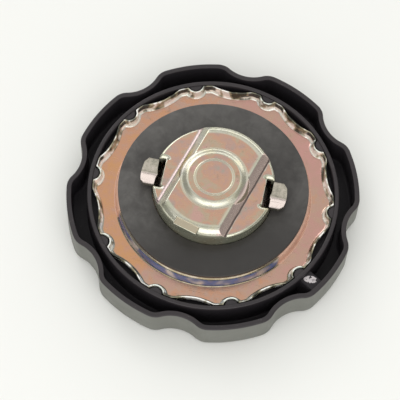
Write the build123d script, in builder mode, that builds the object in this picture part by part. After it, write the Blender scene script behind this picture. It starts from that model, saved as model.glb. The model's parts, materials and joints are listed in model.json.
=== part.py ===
"""Spring-lock fuel filler cap, lying on its outer face with the locking side up.

Every size is in millimetres.  The origin is on the cap's axis, in the plane of the
outer face that the cap lies on.  +Z points from that face into the filler neck and
+X runs along the two ears of the lock strap.
"""

import os

from build123d import *

os.makedirs("parts", exist_ok=True)

# --- Cover: a moulded hand knob with eight lobes ---------------------------------
cover_height = 13.7             # outer face to rim
cover_wall = 1.7                # skirt thickness
cover_floor = 2.6               # thickness of the outer face
cover_edge_radius = 2.2         # outer face into the skirt
cover_rim_radius = 0.5          # outer edge of the rim
lobe_count = 8
lobe_angle = 20.15              # middle of the first lobe, from +X
flute_depth = 3.27              # lobe to the bottom of a finger flute
flute_radius = 12.2             # hollow curve of a flute
flute_shoulder_radius = 6.0     # rounded change from flute to lobe

# --- Plate socket inside the cover: a ring with ten keys --------------------------
ring_bore = 82.9
ring_wall = 1.5
trough_width = 2.08             # ring to skirt at the bottom of a flute
ring_proud = 0.4                # ring top above the rim
ring_edge_radius = 0.45
key_count = 10
key_angle = 1.9                 # first key, from +X
key_radius = 2.4                # half-round keys
key_reach = 1.85                # how far a key stands in from the ring
key_drop = 0.5                  # key top below the ring top
ledge_width = 4.2               # shelf in the ring that the plate sits on
web_angle = -32.5               # the one bridge between ring and skirt
web_width = 4.8
web_drop = 1.0                  # bridge top below the rim
breather_count = 4              # grooves across the shelf that let air past the plate
breather_width = 3.0
breather_depth = 1.0

# --- Base plate: a pressed pan with a raised seat ---------------------------------
plate_sheet = 1.0
plate_top_drop = 2.8            # annulus top below the rim
flange_top_rise = 0.3           # flange edge above the rim
flange_sheet = 0.7
flange_flare = 1.1              # outward lean of the flange over its height
flange_clearance = 0.2          # tips of the fluted flange to the ring
scallop_depth = 1.85            # tips to the bottom of a wide scallop
scallop_radius = 19.3
key_clearance = 0.3             # key to the small notch round it
tip_radius = 0.5                # rounded corners of the fluted outline
seat_margin = 0.9               # wall of the raised seat beyond the gasket
seat_height = 4.7               # seat above the annulus
seat_lean = 0.35                # inward lean of the seat wall
seat_shoulder_radius = 1.6
seat_foot_radius = 1.1
well_radius = 8.6               # dished centre that takes the vent valve
well_depth = 1.7
well_edge_radius = 1.3

# --- Gasket: a flat rubber ring ---------------------------------------------------
gasket_radius = 32.4
gasket_thickness = 1.5
gasket_edge_radius = 0.3
gasket_bore_clearance = 0.15    # cup to the bore of the gasket

# --- Lock cup: a drawn cup with a raised bridge and a central boss ----------------
cup_radius = 20.7
cup_sheet = 1.2
cup_face_rise = 8.5             # side faces above the rim
bridge_angle = 73.5             # long axis of the raised bridge, from +X
bridge_rise = 2.5               # bridge above the side faces
bridge_top_width = 20.4
bridge_foot_width = 25.6
bridge_top_bend = 1.6           # outer radius where the bridge's sides meet its top
bridge_foot_bend = 0.5          # outer radius where they meet the side faces
cup_shoulder_radius = 3.0       # rounded change from the bridge's ends to the wall
boss_foot_radius = 11.0         # axis to the foot of the boss's sloped side
boss_top_radius = 9.0           # axis to the top of that side
boss_rise = 1.7                 # boss above the bridge
boss_bend = 1.8                 # outer radius of the bends of the boss
boss_bead_radius = 6.9          # fine bead pressed on the boss
boss_bead_width = 0.7
boss_bead_rise = 0.2
window_width = 10.4             # opening that an ear works in
window_depth = 3.4              # how far a window cuts into the side face
window_sill = 0.7               # wall left below a window
stop_width = 8.6                # turn-stop lug at one end of the bridge
stop_depth = 3.4
stop_proud = 0.8                # lug beyond the cup wall
stop_drop = 0.15                # lug top below the bridge
stop_height = 2.4
stop_slit_width = 0.5           # short slit at one end of the lug, where it was lanced
stop_slit_length = 1.4
foot_tab_count = 4
foot_tab_width = 7.0
foot_tab_hook = 3.0             # clinched end of a tab under the seat
foot_tab_clearance = 0.15

# --- Lock strap: a strip with keel-shaped ears ------------------------------------
strap_width = 9.6
strap_sheet = 1.8
strap_rest_gap = 0.1            # strap above the seat at rest
strap_hole_radius = 3.2
ear_reach = 25.0                # axis to the end of an ear
ear_neck = 19.9                 # where the flat arm starts to change into a keel
ear_start = 20.6                # where the keel section is full
ear_lift = 2.0                  # keel above the middle of the strap
ear_keel = 1.7                  # edges of an ear above its keel
neck_keel = 0.15                # the same where the keel starts
arm_foot = 16.9                 # where an arm starts to climb
arm_top = 19.5                  # where it has climbed
arm_bend_radius = 1.0
ear_corner = 1.1

# --- Lock spring and its seat -----------------------------------------------------
lock_spring_radius = 7.3        # to the middle of the wire
lock_spring_wire = 1.2
lock_spring_turns = 3.0
spring_grind = 0.25             # share of the wire ground off each end
spring_seat_sheet = 0.9
spring_seat_rim = 0.8
spring_seat_clearance = 0.25
spring_seat_bore = 1.3
spring_seat_spigot = 1.2        # how far the spigot reaches into the strap
spring_seat_bend = 0.1          # inner radius of its bends
spigot_clearance = 0.1          # spigot of the spring seat in the strap

# --- Vent valve in the middle of the plate ----------------------------------------
vent_radius = 4.6
vent_bore = 3.9
vent_head_radius = 6.2
vent_head = 0.8
vent_clearance = 0.05           # body to the hole in the plate
vent_swage_radius = 5.2
vent_swage = 0.8
vent_length = 6.2               # below the head
vent_port_radius = 2.0
vent_port_floor = 0.9
vent_disc_radius = 3.5
vent_disc_thickness = 1.0
vent_disc_gap = 0.05
vent_pip_radius = 1.1            # pip that centres the spring
vent_pip = 0.8
vent_spring_radius = 2.2
vent_spring_wire = 0.45
vent_spring_turns = 4.0
vent_cap = 0.7                  # slotted retainer pressed in the mouth
vent_cap_recess = 0.2
vent_cap_clearance = 0.03
vent_cap_hole = 0.7
vent_cap_holes = 4

# --- Levels that the sizes above give ---------------------------------------------
ring_inner = ring_bore / 2
ring_outer = ring_inner + ring_wall
ring_middle = ring_inner + ring_wall / 2
flute_bottom_radius = ring_outer + trough_width + cover_wall
cover_radius = flute_bottom_radius + flute_depth
key_centre = ring_inner - key_reach + key_radius
flange_tip_radius = ring_inner - flange_clearance
scallop_bottom_radius = flange_tip_radius - scallop_depth
seat_radius = gasket_radius + seat_margin
ring_top = cover_height + ring_proud
plate_top = cover_height - plate_top_drop
plate_bottom = plate_top - plate_sheet
flange_top = cover_height + flange_top_rise
seat_top = plate_top + seat_height
seat_bottom = seat_top - plate_sheet
face_top = cover_height + cup_face_rise
face_bottom = face_top - cup_sheet
bridge_top = face_top + bridge_rise
bridge_bottom = bridge_top - cup_sheet
boss_top = bridge_top + boss_rise
boss_bottom = boss_top - cup_sheet
cup_bore_radius = cup_radius - cup_sheet
sill_top = seat_top + window_sill
strap_bottom = seat_top + strap_rest_gap
strap_top = strap_bottom + strap_sheet
keel_bottom = strap_bottom + ear_lift
spring_bottom = strap_top + spring_seat_sheet
well_floor = seat_top - well_depth
vent_top = well_floor + vent_head
vent_bottom = well_floor - vent_length
vent_seat = vent_bottom + vent_port_floor
vent_cap_top = vent_top - vent_cap_recess
vent_cap_bottom = vent_cap_top - vent_cap
vent_disc_bottom = vent_seat + vent_disc_gap
vent_disc_top = vent_disc_bottom + vent_disc_thickness


def lobed_outline(inset):
    """Sketch of the cover's lobed outline, moved inwards by inset."""
    flute_centre = flute_bottom_radius + flute_radius
    half_pitch = 180 / lobe_count
    with BuildSketch() as outline:
        Circle(cover_radius - inset)
        with PolarLocations(flute_centre, lobe_count, start_angle=lobe_angle + half_pitch):
            Circle(flute_radius + inset, mode=Mode.SUBTRACT)
        fillet(outline.vertices(), flute_shoulder_radius - inset)
    return outline.sketch


def fluted_outline(inset):
    """Sketch of the base plate's fluted outline, moved inwards by inset."""
    half_pitch = 180 / key_count
    scallop_centre = scallop_bottom_radius + scallop_radius
    with BuildSketch() as outline:
        Circle(flange_tip_radius - inset)
        with PolarLocations(scallop_centre, key_count, start_angle=key_angle + half_pitch):
            Circle(scallop_radius + inset, mode=Mode.SUBTRACT)
        with PolarLocations(key_centre, key_count, start_angle=key_angle):
            Circle(key_radius + key_clearance + inset, mode=Mode.SUBTRACT)
        fillet(outline.vertices(), tip_radius)
    return outline.sketch


def turned_sheet(middle_line, radii, thickness):
    """Round pressing: a sheet's middle line with rounded bends, turned about the axis."""
    with BuildPart() as pressing:
        with BuildSketch(Plane.XZ):
            with BuildLine():
                FilletPolyline(*middle_line, radius=radii)
            trace(line_width=thickness)
        revolve(axis=Axis.Z)
    return pressing.part


def turned(profile):
    """Solid of a closed profile of (radius, level) points, turned about the axis."""
    with BuildPart() as solid:
        with BuildSketch(Plane.XZ):
            with BuildLine():
                Polyline(*profile, close=True)
            make_face()
        revolve(axis=Axis.Z)
    return solid.part


def ground_coil(radius, wire, turns, bottom, top):
    """Compression spring between two levels, its ends ground flat."""
    low = bottom + wire / 2 - spring_grind * wire
    high = top - wire / 2 + spring_grind * wire
    with BuildPart() as coil:
        with BuildLine(Plane.XY.offset(low)) as path:
            Helix(pitch=(high - low) / turns, height=high - low, radius=radius)
        with BuildSketch(Plane(origin=path.line @ 0, z_dir=path.line % 0)):
            Circle(wire / 2)
        sweep()
        with BuildSketch(Plane.XY.offset(bottom)):
            Circle(radius + wire)
        extrude(amount=top - bottom, mode=Mode.INTERSECT)
    return coil.part


def cup_form(radius, shoulder, levels, widths, bends):
    """Solid of the cup from the seat up: flat side faces with a bridge across them.

    levels, widths and bends are each those of the side faces or the bridge's foot, and
    then those of the bridge's top.
    """
    face_level, bridge_level = levels
    foot_width, top_width = widths
    foot_bend, top_bend = bends
    along = Vector(1, 0, 0).rotate(Axis.Z, bridge_angle)
    start = Vector(0, 0, face_level) - along * radius
    across = Plane(origin=start, x_dir=along.rotate(Axis.Z, 90), z_dir=along)
    rise = bridge_level - face_level
    with BuildPart() as form:
        with BuildSketch(Plane.XY.offset(seat_top)):
            Circle(radius)
        extrude(amount=bridge_level - seat_top)
        fillet(form.faces().sort_by(Axis.Z)[-1].edges(), shoulder)
        with BuildSketch(across):
            with BuildLine():
                FilletPolyline(
                    (-radius, 0),
                    (-foot_width / 2, 0),
                    (-top_width / 2, rise),
                    (top_width / 2, rise),
                    (foot_width / 2, 0),
                    (radius, 0),
                    radius=[foot_bend, top_bend, top_bend, foot_bend],
                )
                Polyline((radius, 0), (radius, -radius), (-radius, -radius), (-radius, 0))
            make_face()
        extrude(amount=2 * radius, mode=Mode.INTERSECT)
    return form.part


def boss_form(foot, top, bends, base, bottom, height):
    """Solid of the round boss: a sloped side with rounded bends, closed down to base."""
    foot_bend, top_bend = bends
    skirt = foot + foot_bend
    with BuildPart() as form:
        with BuildSketch(Plane.XZ):
            with BuildLine():
                FilletPolyline(
                    (0, height),
                    (top, height),
                    (foot, bottom),
                    (skirt, bottom),
                    radius=[top_bend, foot_bend],
                )
                Polyline((skirt, bottom), (skirt, base), (0, base), (0, height))
            make_face()
        revolve(axis=Axis.Z)
        with BuildSketch(Plane.XY.offset(base)):
            Circle(foot + foot_bend / 3)
        extrude(amount=height - base, mode=Mode.INTERSECT)
    return form.part


def foot_tab_outline(inner, outer, spare):
    """Sketch of the foot tabs between two radii, each with spare room all round."""
    with BuildSketch() as outline:
        with PolarLocations((inner + outer) / 2, foot_tab_count, start_angle=180 / foot_tab_count):
            Rectangle(2 * (outer - inner), foot_tab_width + 2 * spare)
        Circle(outer + spare, mode=Mode.INTERSECT)
        Circle(inner - spare, mode=Mode.SUBTRACT)
    return outline.sketch


# --- Cover -------------------------------------------------------------------------
skirt_inner = cover_radius - cover_wall
web_top = cover_height - web_drop
key_top = ring_top - key_drop
breather_angle = key_angle + 180 / key_count
with BuildPart() as cover:
    # The knob: a lobed tub with a rounded outer face.
    with BuildSketch():
        add(lobed_outline(0))
    extrude(amount=cover_height)
    fillet(cover.faces().sort_by(Axis.Z)[0].edges(), cover_edge_radius)
    with BuildSketch(Plane.XY.offset(cover_floor)):
        add(lobed_outline(cover_wall))
    extrude(amount=cover_height, mode=Mode.SUBTRACT)
    fillet(cover.faces().sort_by(Axis.Z)[-1].outer_wire().edges(), cover_rim_radius)
    # The bridge between the skirt and the ring.
    with BuildSketch(Plane.XY.offset(cover_floor)):
        with PolarLocations((ring_outer + skirt_inner) / 2, 1, start_angle=web_angle):
            Rectangle(skirt_inner - ring_outer + cover_wall, web_width)
        Circle(ring_outer - ring_edge_radius, mode=Mode.SUBTRACT)
        add(lobed_outline(cover_wall / 2), mode=Mode.INTERSECT)
    extrude(amount=web_top - cover_floor)
    # The ring that holds the plate, with the shelf that the plate sits on.
    with BuildSketch(Plane.XY.offset(cover_floor)):
        Circle(ring_outer)
        Circle(ring_inner, mode=Mode.SUBTRACT)
    extrude(amount=ring_top - cover_floor)
    fillet(cover.faces().sort_by(Axis.Z)[-1].edges(), ring_edge_radius)
    with BuildSketch(Plane.XY.offset(cover_floor)):
        Circle(ring_middle)
        Circle(ring_inner - ledge_width, mode=Mode.SUBTRACT)
    extrude(amount=plate_bottom - cover_floor)
    with BuildSketch(Plane.XY.offset(plate_bottom - breather_depth)):
        with PolarLocations(ring_inner - ledge_width / 2, breather_count, start_angle=breather_angle):
            Rectangle(ledge_width, breather_width)
    extrude(amount=breather_depth, mode=Mode.SUBTRACT)
    # The half-round keys that turn the plate with the cover.
    with BuildSketch(Plane.XY.offset(plate_bottom)):
        with PolarLocations(key_centre, key_count, start_angle=key_angle):
            Circle(key_radius)
        Circle(ring_middle, mode=Mode.INTERSECT)
    extrude(amount=key_top - plate_bottom)
cover.part.label = "cover"
export_step(cover.part, "parts/cover.step")

# --- Base plate --------------------------------------------------------------------
half_sheet = plate_sheet / 2
pan_radius = (seat_radius + scallop_bottom_radius - flange_flare) / 2
seat_line = [
    (vent_radius + vent_clearance, well_floor - half_sheet),
    (well_radius - well_depth, well_floor - half_sheet),
    (well_radius, seat_top - half_sheet),
    (seat_radius - seat_lean - half_sheet, seat_top - half_sheet),
    (seat_radius - half_sheet, plate_top - half_sheet),
    (pan_radius, plate_top - half_sheet),
]
seat_bends = [
    well_edge_radius - half_sheet,
    well_edge_radius - half_sheet,
    seat_shoulder_radius - half_sheet,
    seat_foot_radius + half_sheet,
]
with BuildPart() as base_plate:
    # The pan: a flat annulus inside a fluted flange that leans outwards.
    for level, inset in ((plate_bottom, flange_flare), (flange_top, 0)):
        with BuildSketch(Plane.XY.offset(level)):
            add(fluted_outline(inset))
    loft(ruled=True)
    for level, inset in ((plate_top, flange_flare + flange_sheet), (flange_top, flange_sheet)):
        with BuildSketch(Plane.XY.offset(level)):
            add(fluted_outline(inset))
    loft(ruled=True, mode=Mode.SUBTRACT)
    with BuildSketch(Plane.XY.offset(plate_bottom)):
        Circle(pan_radius)
    extrude(amount=plate_sheet, mode=Mode.SUBTRACT)
    # The raised seat with its dished centre, and the slots for the cup's tabs.
    add(turned_sheet(seat_line, seat_bends, plate_sheet))
    with BuildSketch(Plane.XY.offset(seat_bottom)):
        add(foot_tab_outline(cup_bore_radius, cup_radius, foot_tab_clearance))
    extrude(amount=plate_sheet, mode=Mode.SUBTRACT)
base_plate.part.label = "base_plate"
export_step(base_plate.part, "parts/base_plate.step")

# --- Gasket ------------------------------------------------------------------------
with BuildPart() as gasket:
    with BuildSketch(Plane.XY.offset(seat_top)):
        Circle(gasket_radius)
        Circle(cup_radius + gasket_bore_clearance, mode=Mode.SUBTRACT)
    extrude(amount=gasket_thickness)
    fillet(gasket.faces().sort_by(Axis.Z)[-1].edges(), gasket_edge_radius)
gasket.part.label = "gasket"
export_step(gasket.part, "parts/gasket.step")

# --- Lock cup ----------------------------------------------------------------------
window_start = cup_radius - window_depth
stop_top = bridge_top - stop_drop
stop_angle = bridge_angle + 180
stop_outer = cup_radius + stop_proud
stop_inner = stop_outer - stop_depth
with BuildPart() as lock_cup:
    add(
        cup_form(
            cup_radius,
            cup_shoulder_radius,
            (face_top, bridge_top),
            (bridge_foot_width, bridge_top_width),
            (bridge_foot_bend, bridge_top_bend),
        )
    )
    add(
        boss_form(
            boss_foot_radius,
            boss_top_radius,
            (boss_bend, boss_bend),
            bridge_bottom,
            bridge_top,
            boss_top,
        )
    )
    with BuildSketch(Plane.XZ):
        with Locations((boss_bead_radius, boss_top)):
            Ellipse(boss_bead_width / 2, boss_bead_rise)
    revolve(axis=Axis.Z)
    # The hollow behind the side faces, the bridge and the boss.
    add(
        cup_form(
            cup_bore_radius,
            cup_shoulder_radius - cup_sheet,
            (face_bottom, bridge_bottom),
            (bridge_foot_width - cup_sheet, bridge_top_width - cup_sheet),
            (bridge_foot_bend + cup_sheet, bridge_top_bend - cup_sheet),
        ),
        mode=Mode.SUBTRACT,
    )
    add(
        boss_form(
            boss_foot_radius - cup_sheet,
            boss_top_radius - cup_sheet / 2,
            (boss_bend - cup_sheet, boss_bend - cup_sheet),
            face_bottom,
            bridge_bottom,
            boss_bottom,
        ),
        mode=Mode.SUBTRACT,
    )
    # The two windows, open through the side faces and down to a low sill.
    with BuildSketch(Plane.XY.offset(sill_top)):
        with PolarLocations(window_start + cup_radius, 2):
            Rectangle(2 * cup_radius, window_width)
    extrude(amount=boss_top - sill_top, mode=Mode.SUBTRACT)
    # The lug that stops the cap's turn in the neck, and the slit at one end of it.
    with BuildSketch(Plane.XY.offset(stop_top - stop_height)):
        with PolarLocations(stop_outer - stop_depth / 2, 1, start_angle=stop_angle):
            Rectangle(stop_depth, stop_width)
    extrude(amount=stop_height)
    with BuildSketch(Plane.XY.offset(face_bottom)):
        with PolarLocations(stop_inner + stop_slit_length / 2, 1, start_angle=stop_angle):
            with Locations((0, -stop_width / 2)):
                Rectangle(stop_slit_length, stop_slit_width)
    extrude(amount=boss_top - face_bottom, mode=Mode.SUBTRACT)
    # The foot tabs, pushed through the seat and clinched out under it.
    with BuildSketch(Plane.XY.offset(seat_bottom)):
        add(foot_tab_outline(cup_bore_radius, cup_radius, 0))
    extrude(amount=plate_sheet)
    with BuildSketch(Plane.XY.offset(seat_bottom - cup_sheet)):
        add(foot_tab_outline(cup_bore_radius, cup_radius + foot_tab_hook, 0))
    extrude(amount=cup_sheet)
lock_cup.part.label = "lock_cup"
export_step(lock_cup.part, "parts/lock_cup.step")

# --- Lock strap --------------------------------------------------------------------
half_sheet = strap_sheet / 2
arm_line = [
    (0, strap_bottom + half_sheet),
    (arm_foot, strap_bottom + half_sheet),
    (arm_top, keel_bottom + half_sheet),
    (ear_neck, keel_bottom + half_sheet),
]
ear_sections = [
    (ear_neck, neck_keel),
    (ear_start, ear_keel),
    (ear_reach + strap_sheet, ear_keel),
]
with BuildPart() as lock_strap:
    with BuildSketch(Plane.XZ):
        with BuildLine():
            FilletPolyline(*arm_line, radius=arm_bend_radius)
        trace(line_width=strap_sheet)
    extrude(amount=strap_width / 2, both=True)
    # The ear: the strip turned up at both edges, so that its keel rides on the neck.
    for place, rise in ear_sections:
        with BuildSketch(Plane(origin=(place, 0, keel_bottom), x_dir=(0, 1, 0), z_dir=(1, 0, 0))):
            with BuildLine():
                Polyline(
                    (-strap_width / 2, rise),
                    (0, 0),
                    (strap_width / 2, rise),
                    (strap_width / 2, rise + strap_sheet),
                    (0, strap_sheet),
                    (-strap_width / 2, rise + strap_sheet),
                    close=True,
                )
            make_face()
    loft(ruled=True)
    with BuildSketch(Plane.XY.offset(strap_bottom)):
        Circle(ear_reach)
    extrude(amount=2 * cup_radius, mode=Mode.INTERSECT)
    ear_corners = lock_strap.edges().filter_by(Axis.Z).group_by(Axis.X)[-1]
    chamfer(ear_corners, ear_corner)
    mirror(about=Plane.YZ)
    Hole(strap_hole_radius)
lock_strap.part.label = "lock_strap"
export_step(lock_strap.part, "parts/lock_strap.step")

# --- Spring seat and lock spring -----------------------------------------------------
half_sheet = spring_seat_sheet / 2
rim_line = lock_spring_radius + lock_spring_wire / 2 + spring_seat_clearance + half_sheet
spigot_line = strap_hole_radius - spigot_clearance - half_sheet
spigot_floor = strap_top - spring_seat_spigot + half_sheet
spring_seat_line = [
    (spring_seat_bore, spigot_floor),
    (spigot_line, spigot_floor),
    (spigot_line, strap_top + half_sheet),
    (rim_line, strap_top + half_sheet),
    (rim_line, spring_bottom + spring_seat_rim),
]
with BuildPart() as spring_seat:
    add(turned_sheet(spring_seat_line, half_sheet + spring_seat_bend, spring_seat_sheet))
spring_seat.part.label = "spring_seat"
export_step(spring_seat.part, "parts/spring_seat.step")

with BuildPart() as lock_spring:
    add(ground_coil(lock_spring_radius, lock_spring_wire, lock_spring_turns, spring_bottom, boss_bottom))
lock_spring.part.label = "lock_spring"
export_step(lock_spring.part, "parts/lock_spring.step")

# --- Vent valve --------------------------------------------------------------------
swage_top = well_floor - plate_sheet
vent_profile = [
    (vent_port_radius, vent_bottom),
    (vent_radius, vent_bottom),
    (vent_radius, swage_top - vent_swage),
    (vent_swage_radius, swage_top - vent_swage),
    (vent_swage_radius, swage_top),
    (vent_radius, swage_top),
    (vent_radius, well_floor),
    (vent_head_radius, well_floor),
    (vent_head_radius, vent_top),
    (vent_bore, vent_top),
    (vent_bore, vent_seat),
    (vent_port_radius, vent_seat),
]
with BuildPart() as vent_body:
    add(turned(vent_profile))
vent_body.part.label = "vent_body"
export_step(vent_body.part, "parts/vent_body.step")

vent_disc_profile = [
    (0, vent_disc_bottom),
    (vent_disc_radius, vent_disc_bottom),
    (vent_disc_radius, vent_disc_top),
    (vent_pip_radius, vent_disc_top),
    (vent_pip_radius, vent_disc_top + vent_pip),
    (0, vent_disc_top + vent_pip),
]
with BuildPart() as vent_disc:
    add(turned(vent_disc_profile))
vent_disc.part.label = "vent_disc"
export_step(vent_disc.part, "parts/vent_disc.step")

with BuildPart() as vent_spring:
    add(
        ground_coil(
            vent_spring_radius,
            vent_spring_wire,
            vent_spring_turns,
            vent_disc_top,
            vent_cap_bottom,
        )
    )
vent_spring.part.label = "vent_spring"
export_step(vent_spring.part, "parts/vent_spring.step")

with BuildPart() as vent_retainer:
    with BuildSketch(Plane.XY.offset(vent_cap_bottom)):
        Circle(vent_bore - vent_cap_clearance)
        with PolarLocations(vent_bore / 2, vent_cap_holes):
            Circle(vent_cap_hole, mode=Mode.SUBTRACT)
    extrude(amount=vent_cap)
vent_retainer.part.label = "vent_retainer"
export_step(vent_retainer.part, "parts/vent_retainer.step")
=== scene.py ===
"""Looks of a spring-lock fuel filler cap that lies on its outer face.

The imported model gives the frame: metres, origin on the cap's axis in the plane of
the outer face, +Z towards the filler neck and +X along the ears of the lock strap.
Sizes in the classes below are in millimetres and become metres when a mesh is made.
"""

import json
import logging
import math
from dataclasses import dataclass, replace
from enum import Enum
from functools import cached_property, partial, reduce
from typing import Callable, Protocol, Sequence

import bmesh
import bpy
from mathutils import Matrix, Vector, noise


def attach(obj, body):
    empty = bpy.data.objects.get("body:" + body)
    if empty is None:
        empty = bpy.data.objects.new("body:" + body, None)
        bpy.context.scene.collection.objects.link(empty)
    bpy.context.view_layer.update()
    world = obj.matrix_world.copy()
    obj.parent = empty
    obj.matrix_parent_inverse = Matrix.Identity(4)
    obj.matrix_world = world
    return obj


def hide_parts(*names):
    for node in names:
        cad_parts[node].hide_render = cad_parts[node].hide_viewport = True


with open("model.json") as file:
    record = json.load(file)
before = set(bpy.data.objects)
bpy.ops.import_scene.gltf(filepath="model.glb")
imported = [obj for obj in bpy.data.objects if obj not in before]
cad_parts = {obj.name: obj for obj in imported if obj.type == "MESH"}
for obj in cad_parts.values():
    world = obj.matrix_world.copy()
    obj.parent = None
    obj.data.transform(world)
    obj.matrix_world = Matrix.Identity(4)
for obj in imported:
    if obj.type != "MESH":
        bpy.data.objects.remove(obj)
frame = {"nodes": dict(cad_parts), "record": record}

LOG = logging.getLogger("filler_cap")
MM = 0.001
FULL_TURN = 2.0 * math.pi

Point = tuple[float, float]
Colour = tuple[float, float, float, float]

# The round keys inside the knob's ring, which the notches of the pan's flange clear.
KEY_COUNT = 10
FIRST_KEY = math.radians(1.9)
KEY_CENTRE = 42.0

# Directions of the cup's bridge and of the stop lug at its near end.
BRIDGE_TURN = math.radians(73.5)
LUG_TURN = BRIDGE_TURN + math.pi

# Points nearer to each other than this merge, as those of a loop of radius POLE do.
MERGE = 0.003
POLE = 0.001


# --------------------------------------------------------------------------------------
# Outlines: the plan forms that the pressed and moulded walls follow
# --------------------------------------------------------------------------------------


class Outline(Protocol):
    """A closed plan form round the axis."""

    def reach(self, angle: float, inset: float) -> float:
        """Distance from the axis at an angle, with the form moved inwards by inset."""


def ray_to_circle(angle: float, distance: float, radius: float, far: bool) -> float:
    """Distance at which a ray from the axis meets a circle.

    Args:
        angle: Angle between the ray and the circle's centre.
        distance: Distance from the axis to the circle's centre.
        radius: Radius of the circle.
        far: Whether the far meeting point is wanted, instead of the near one.

    Returns:
        The distance, or infinity where the ray misses the circle.
    """
    across = distance * math.sin(angle)
    if abs(across) >= radius:
        return math.inf
    half_chord = math.sqrt(radius**2 - across**2)
    middle = distance * math.cos(angle)
    return middle + half_chord if far else middle - half_chord


def off_feature(angle: float, first: float, count: int) -> float:
    """Signed angle from the nearest of evenly spaced features, one of them at first."""
    pitch = FULL_TURN / count
    return (angle - first + pitch / 2) % pitch - pitch / 2


@dataclass(frozen=True)
class Round:
    """A plain circle."""

    radius: float

    def reach(self, angle: float, inset: float) -> float:
        """Distance from the axis, the same at every angle."""
        return self.radius - inset


@dataclass(frozen=True)
class Lobed:
    """The hand knob's outline: lobes on one circle with hollow finger flutes between."""

    radius: float = 50.0
    count: int = 8
    first: float = math.radians(20.15)
    flute_bottom: float = 46.73
    flute_radius: float = 12.2
    shoulder: float = 6.0

    def reach(self, angle: float, inset: float) -> float:
        """Distance from the axis: on a lobe, on a flute or on the shoulder between.

        Args:
            angle: Direction from the axis.
            inset: Distance that the outline is moved inwards, square to itself.

        Returns:
            The distance in millimetres.
        """
        flute_centre = self.flute_bottom + self.flute_radius
        shoulder_centre = self.radius - self.shoulder
        between = self.flute_radius + self.shoulder
        cosine = shoulder_centre**2 + flute_centre**2 - between**2
        turn = math.acos(cosine / (2 * shoulder_centre * flute_centre))
        off = abs(off_feature(angle, self.first + math.pi / self.count, self.count))
        if off >= turn:
            return self.radius - inset
        share = (self.flute_radius + inset) / between
        side = share * shoulder_centre * math.sin(turn)
        along = flute_centre + share * (shoulder_centre * math.cos(turn) - flute_centre)
        if off <= math.atan2(side, along):
            return ray_to_circle(off, flute_centre, self.flute_radius + inset, far=False)
        return ray_to_circle(off - turn, shoulder_centre, self.shoulder - inset, far=True)


@dataclass(frozen=True)
class Bites:
    """Evenly spaced round bites out of an outline."""

    count: int
    first: float
    centre: float
    radius: float

    def reach(self, angle: float, inset: float) -> float:
        """Distance from the axis to the near side of a bite, or infinity between bites."""
        off = off_feature(angle, self.first, self.count)
        return ray_to_circle(off, self.centre, self.radius + inset, far=False)


@dataclass(frozen=True)
class Bitten:
    """A circle with rounded bites out of it."""

    radius: float
    bites: tuple[Bites, ...]
    softness: float = 0.12

    def reach(self, angle: float, inset: float) -> float:
        """Distance from the axis, with the corners between circle and bites rounded."""
        bitten = (bite.reach(angle, inset) for bite in self.bites)
        return soft_least(self.softness, self.radius - inset, *bitten)


# --------------------------------------------------------------------------------------
# Meshing tools
# --------------------------------------------------------------------------------------


def soft_least(softness: float, *levels: float) -> float:
    """Least of some levels, with the crease where they cross rounded.

    Args:
        softness: Width of the rounding.
        levels: The levels.

    Returns:
        The rounded least.
    """
    least = min(levels)
    total = sum(math.exp((least - level) / softness) for level in levels)
    return least - softness * math.log(total)


def soft_most(softness: float, *levels: float) -> float:
    """Greatest of some levels, with the crease where they cross rounded."""
    return -soft_least(softness, *(-level for level in levels))


def share_of(value: float, low: float, high: float) -> float:
    """How far a value is from low to high, from 0 to 1."""
    return min(max((value - low) / (high - low), 0.0), 1.0)


def bent(points: Sequence[Point], radii: Sequence[float], steps: int = 5) -> list[Point]:
    """Polyline with its inner corners rounded, as a folded sheet's section.

    Args:
        points: The corners, as (inset or radius, level).
        radii: One bend radius for each inner corner.
        steps: Spans along each bend.

    Returns:
        The points of the rounded line.
    """
    line = [points[0]]
    for before, corner, after, radius in zip(points, points[1:], points[2:], radii):
        here = Vector(corner)
        back = (Vector(before) - here).normalized()
        ahead = (Vector(after) - here).normalized()
        half = back.angle(ahead) / 2
        if radius <= 0.0 or half > math.pi / 2 - 0.01:
            line.append(corner)
            continue
        centre = here + (back + ahead).normalized() * radius / math.sin(half)
        start = here + back * radius / math.tan(half) - centre
        end = here + ahead * radius / math.tan(half) - centre
        for step in range(steps + 1):
            spoke = start.slerp(end, step / steps)
            line.append(tuple(centre + spoke.normalized() * radius))
    line.append(points[-1])
    return line


class Form(Protocol):
    """A pressed face whose level changes from place to place."""

    def level(self, angle: float, reach: float) -> float:
        """Level of the face at an angle and a distance from the axis."""


@dataclass(frozen=True)
class Ring:
    """One loop of a round or fluted shell, level unless it lies on a pressed form."""

    outline: Outline
    inset: float
    level: float = 0.0
    form: Form | None = None

    def point(self, angle: float) -> tuple[float, float, float]:
        """Angle, distance from the axis and level of the loop's point at an angle.

        Args:
            angle: Direction from the axis.

        Returns:
            The three measures.
        """
        reach = self.outline.reach(angle, self.inset)
        level = self.form.level(angle, reach) if self.form else self.level
        return angle, reach, level


def rings(outline: Outline, section: Sequence[Point]) -> list[Ring]:
    """Loops of a shell that follow an outline through a section of (inset, level)."""
    return [Ring(outline, inset, level) for inset, level in section]


def turned(section: Sequence[Point]) -> list[Ring]:
    """Loops of a round shell through a section of (radius, level)."""
    return [Ring(Round(radius), 0.0, level) for radius, level in section]


Settle = Callable[[float, float, float], Vector]


def as_drawn(angle: float, reach: float, level: float) -> Vector:
    """Place of a shell's point with nothing added to its drawn form."""
    return Vector((reach * math.cos(angle), reach * math.sin(angle), level))


def select_alone(piece: bpy.types.Object) -> None:
    """Select one object, and nothing else, and make it active.

    Args:
        piece: The object.
    """
    bpy.ops.object.select_all(action="DESELECT")
    piece.select_set(True)
    bpy.context.view_layer.objects.active = piece


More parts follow.
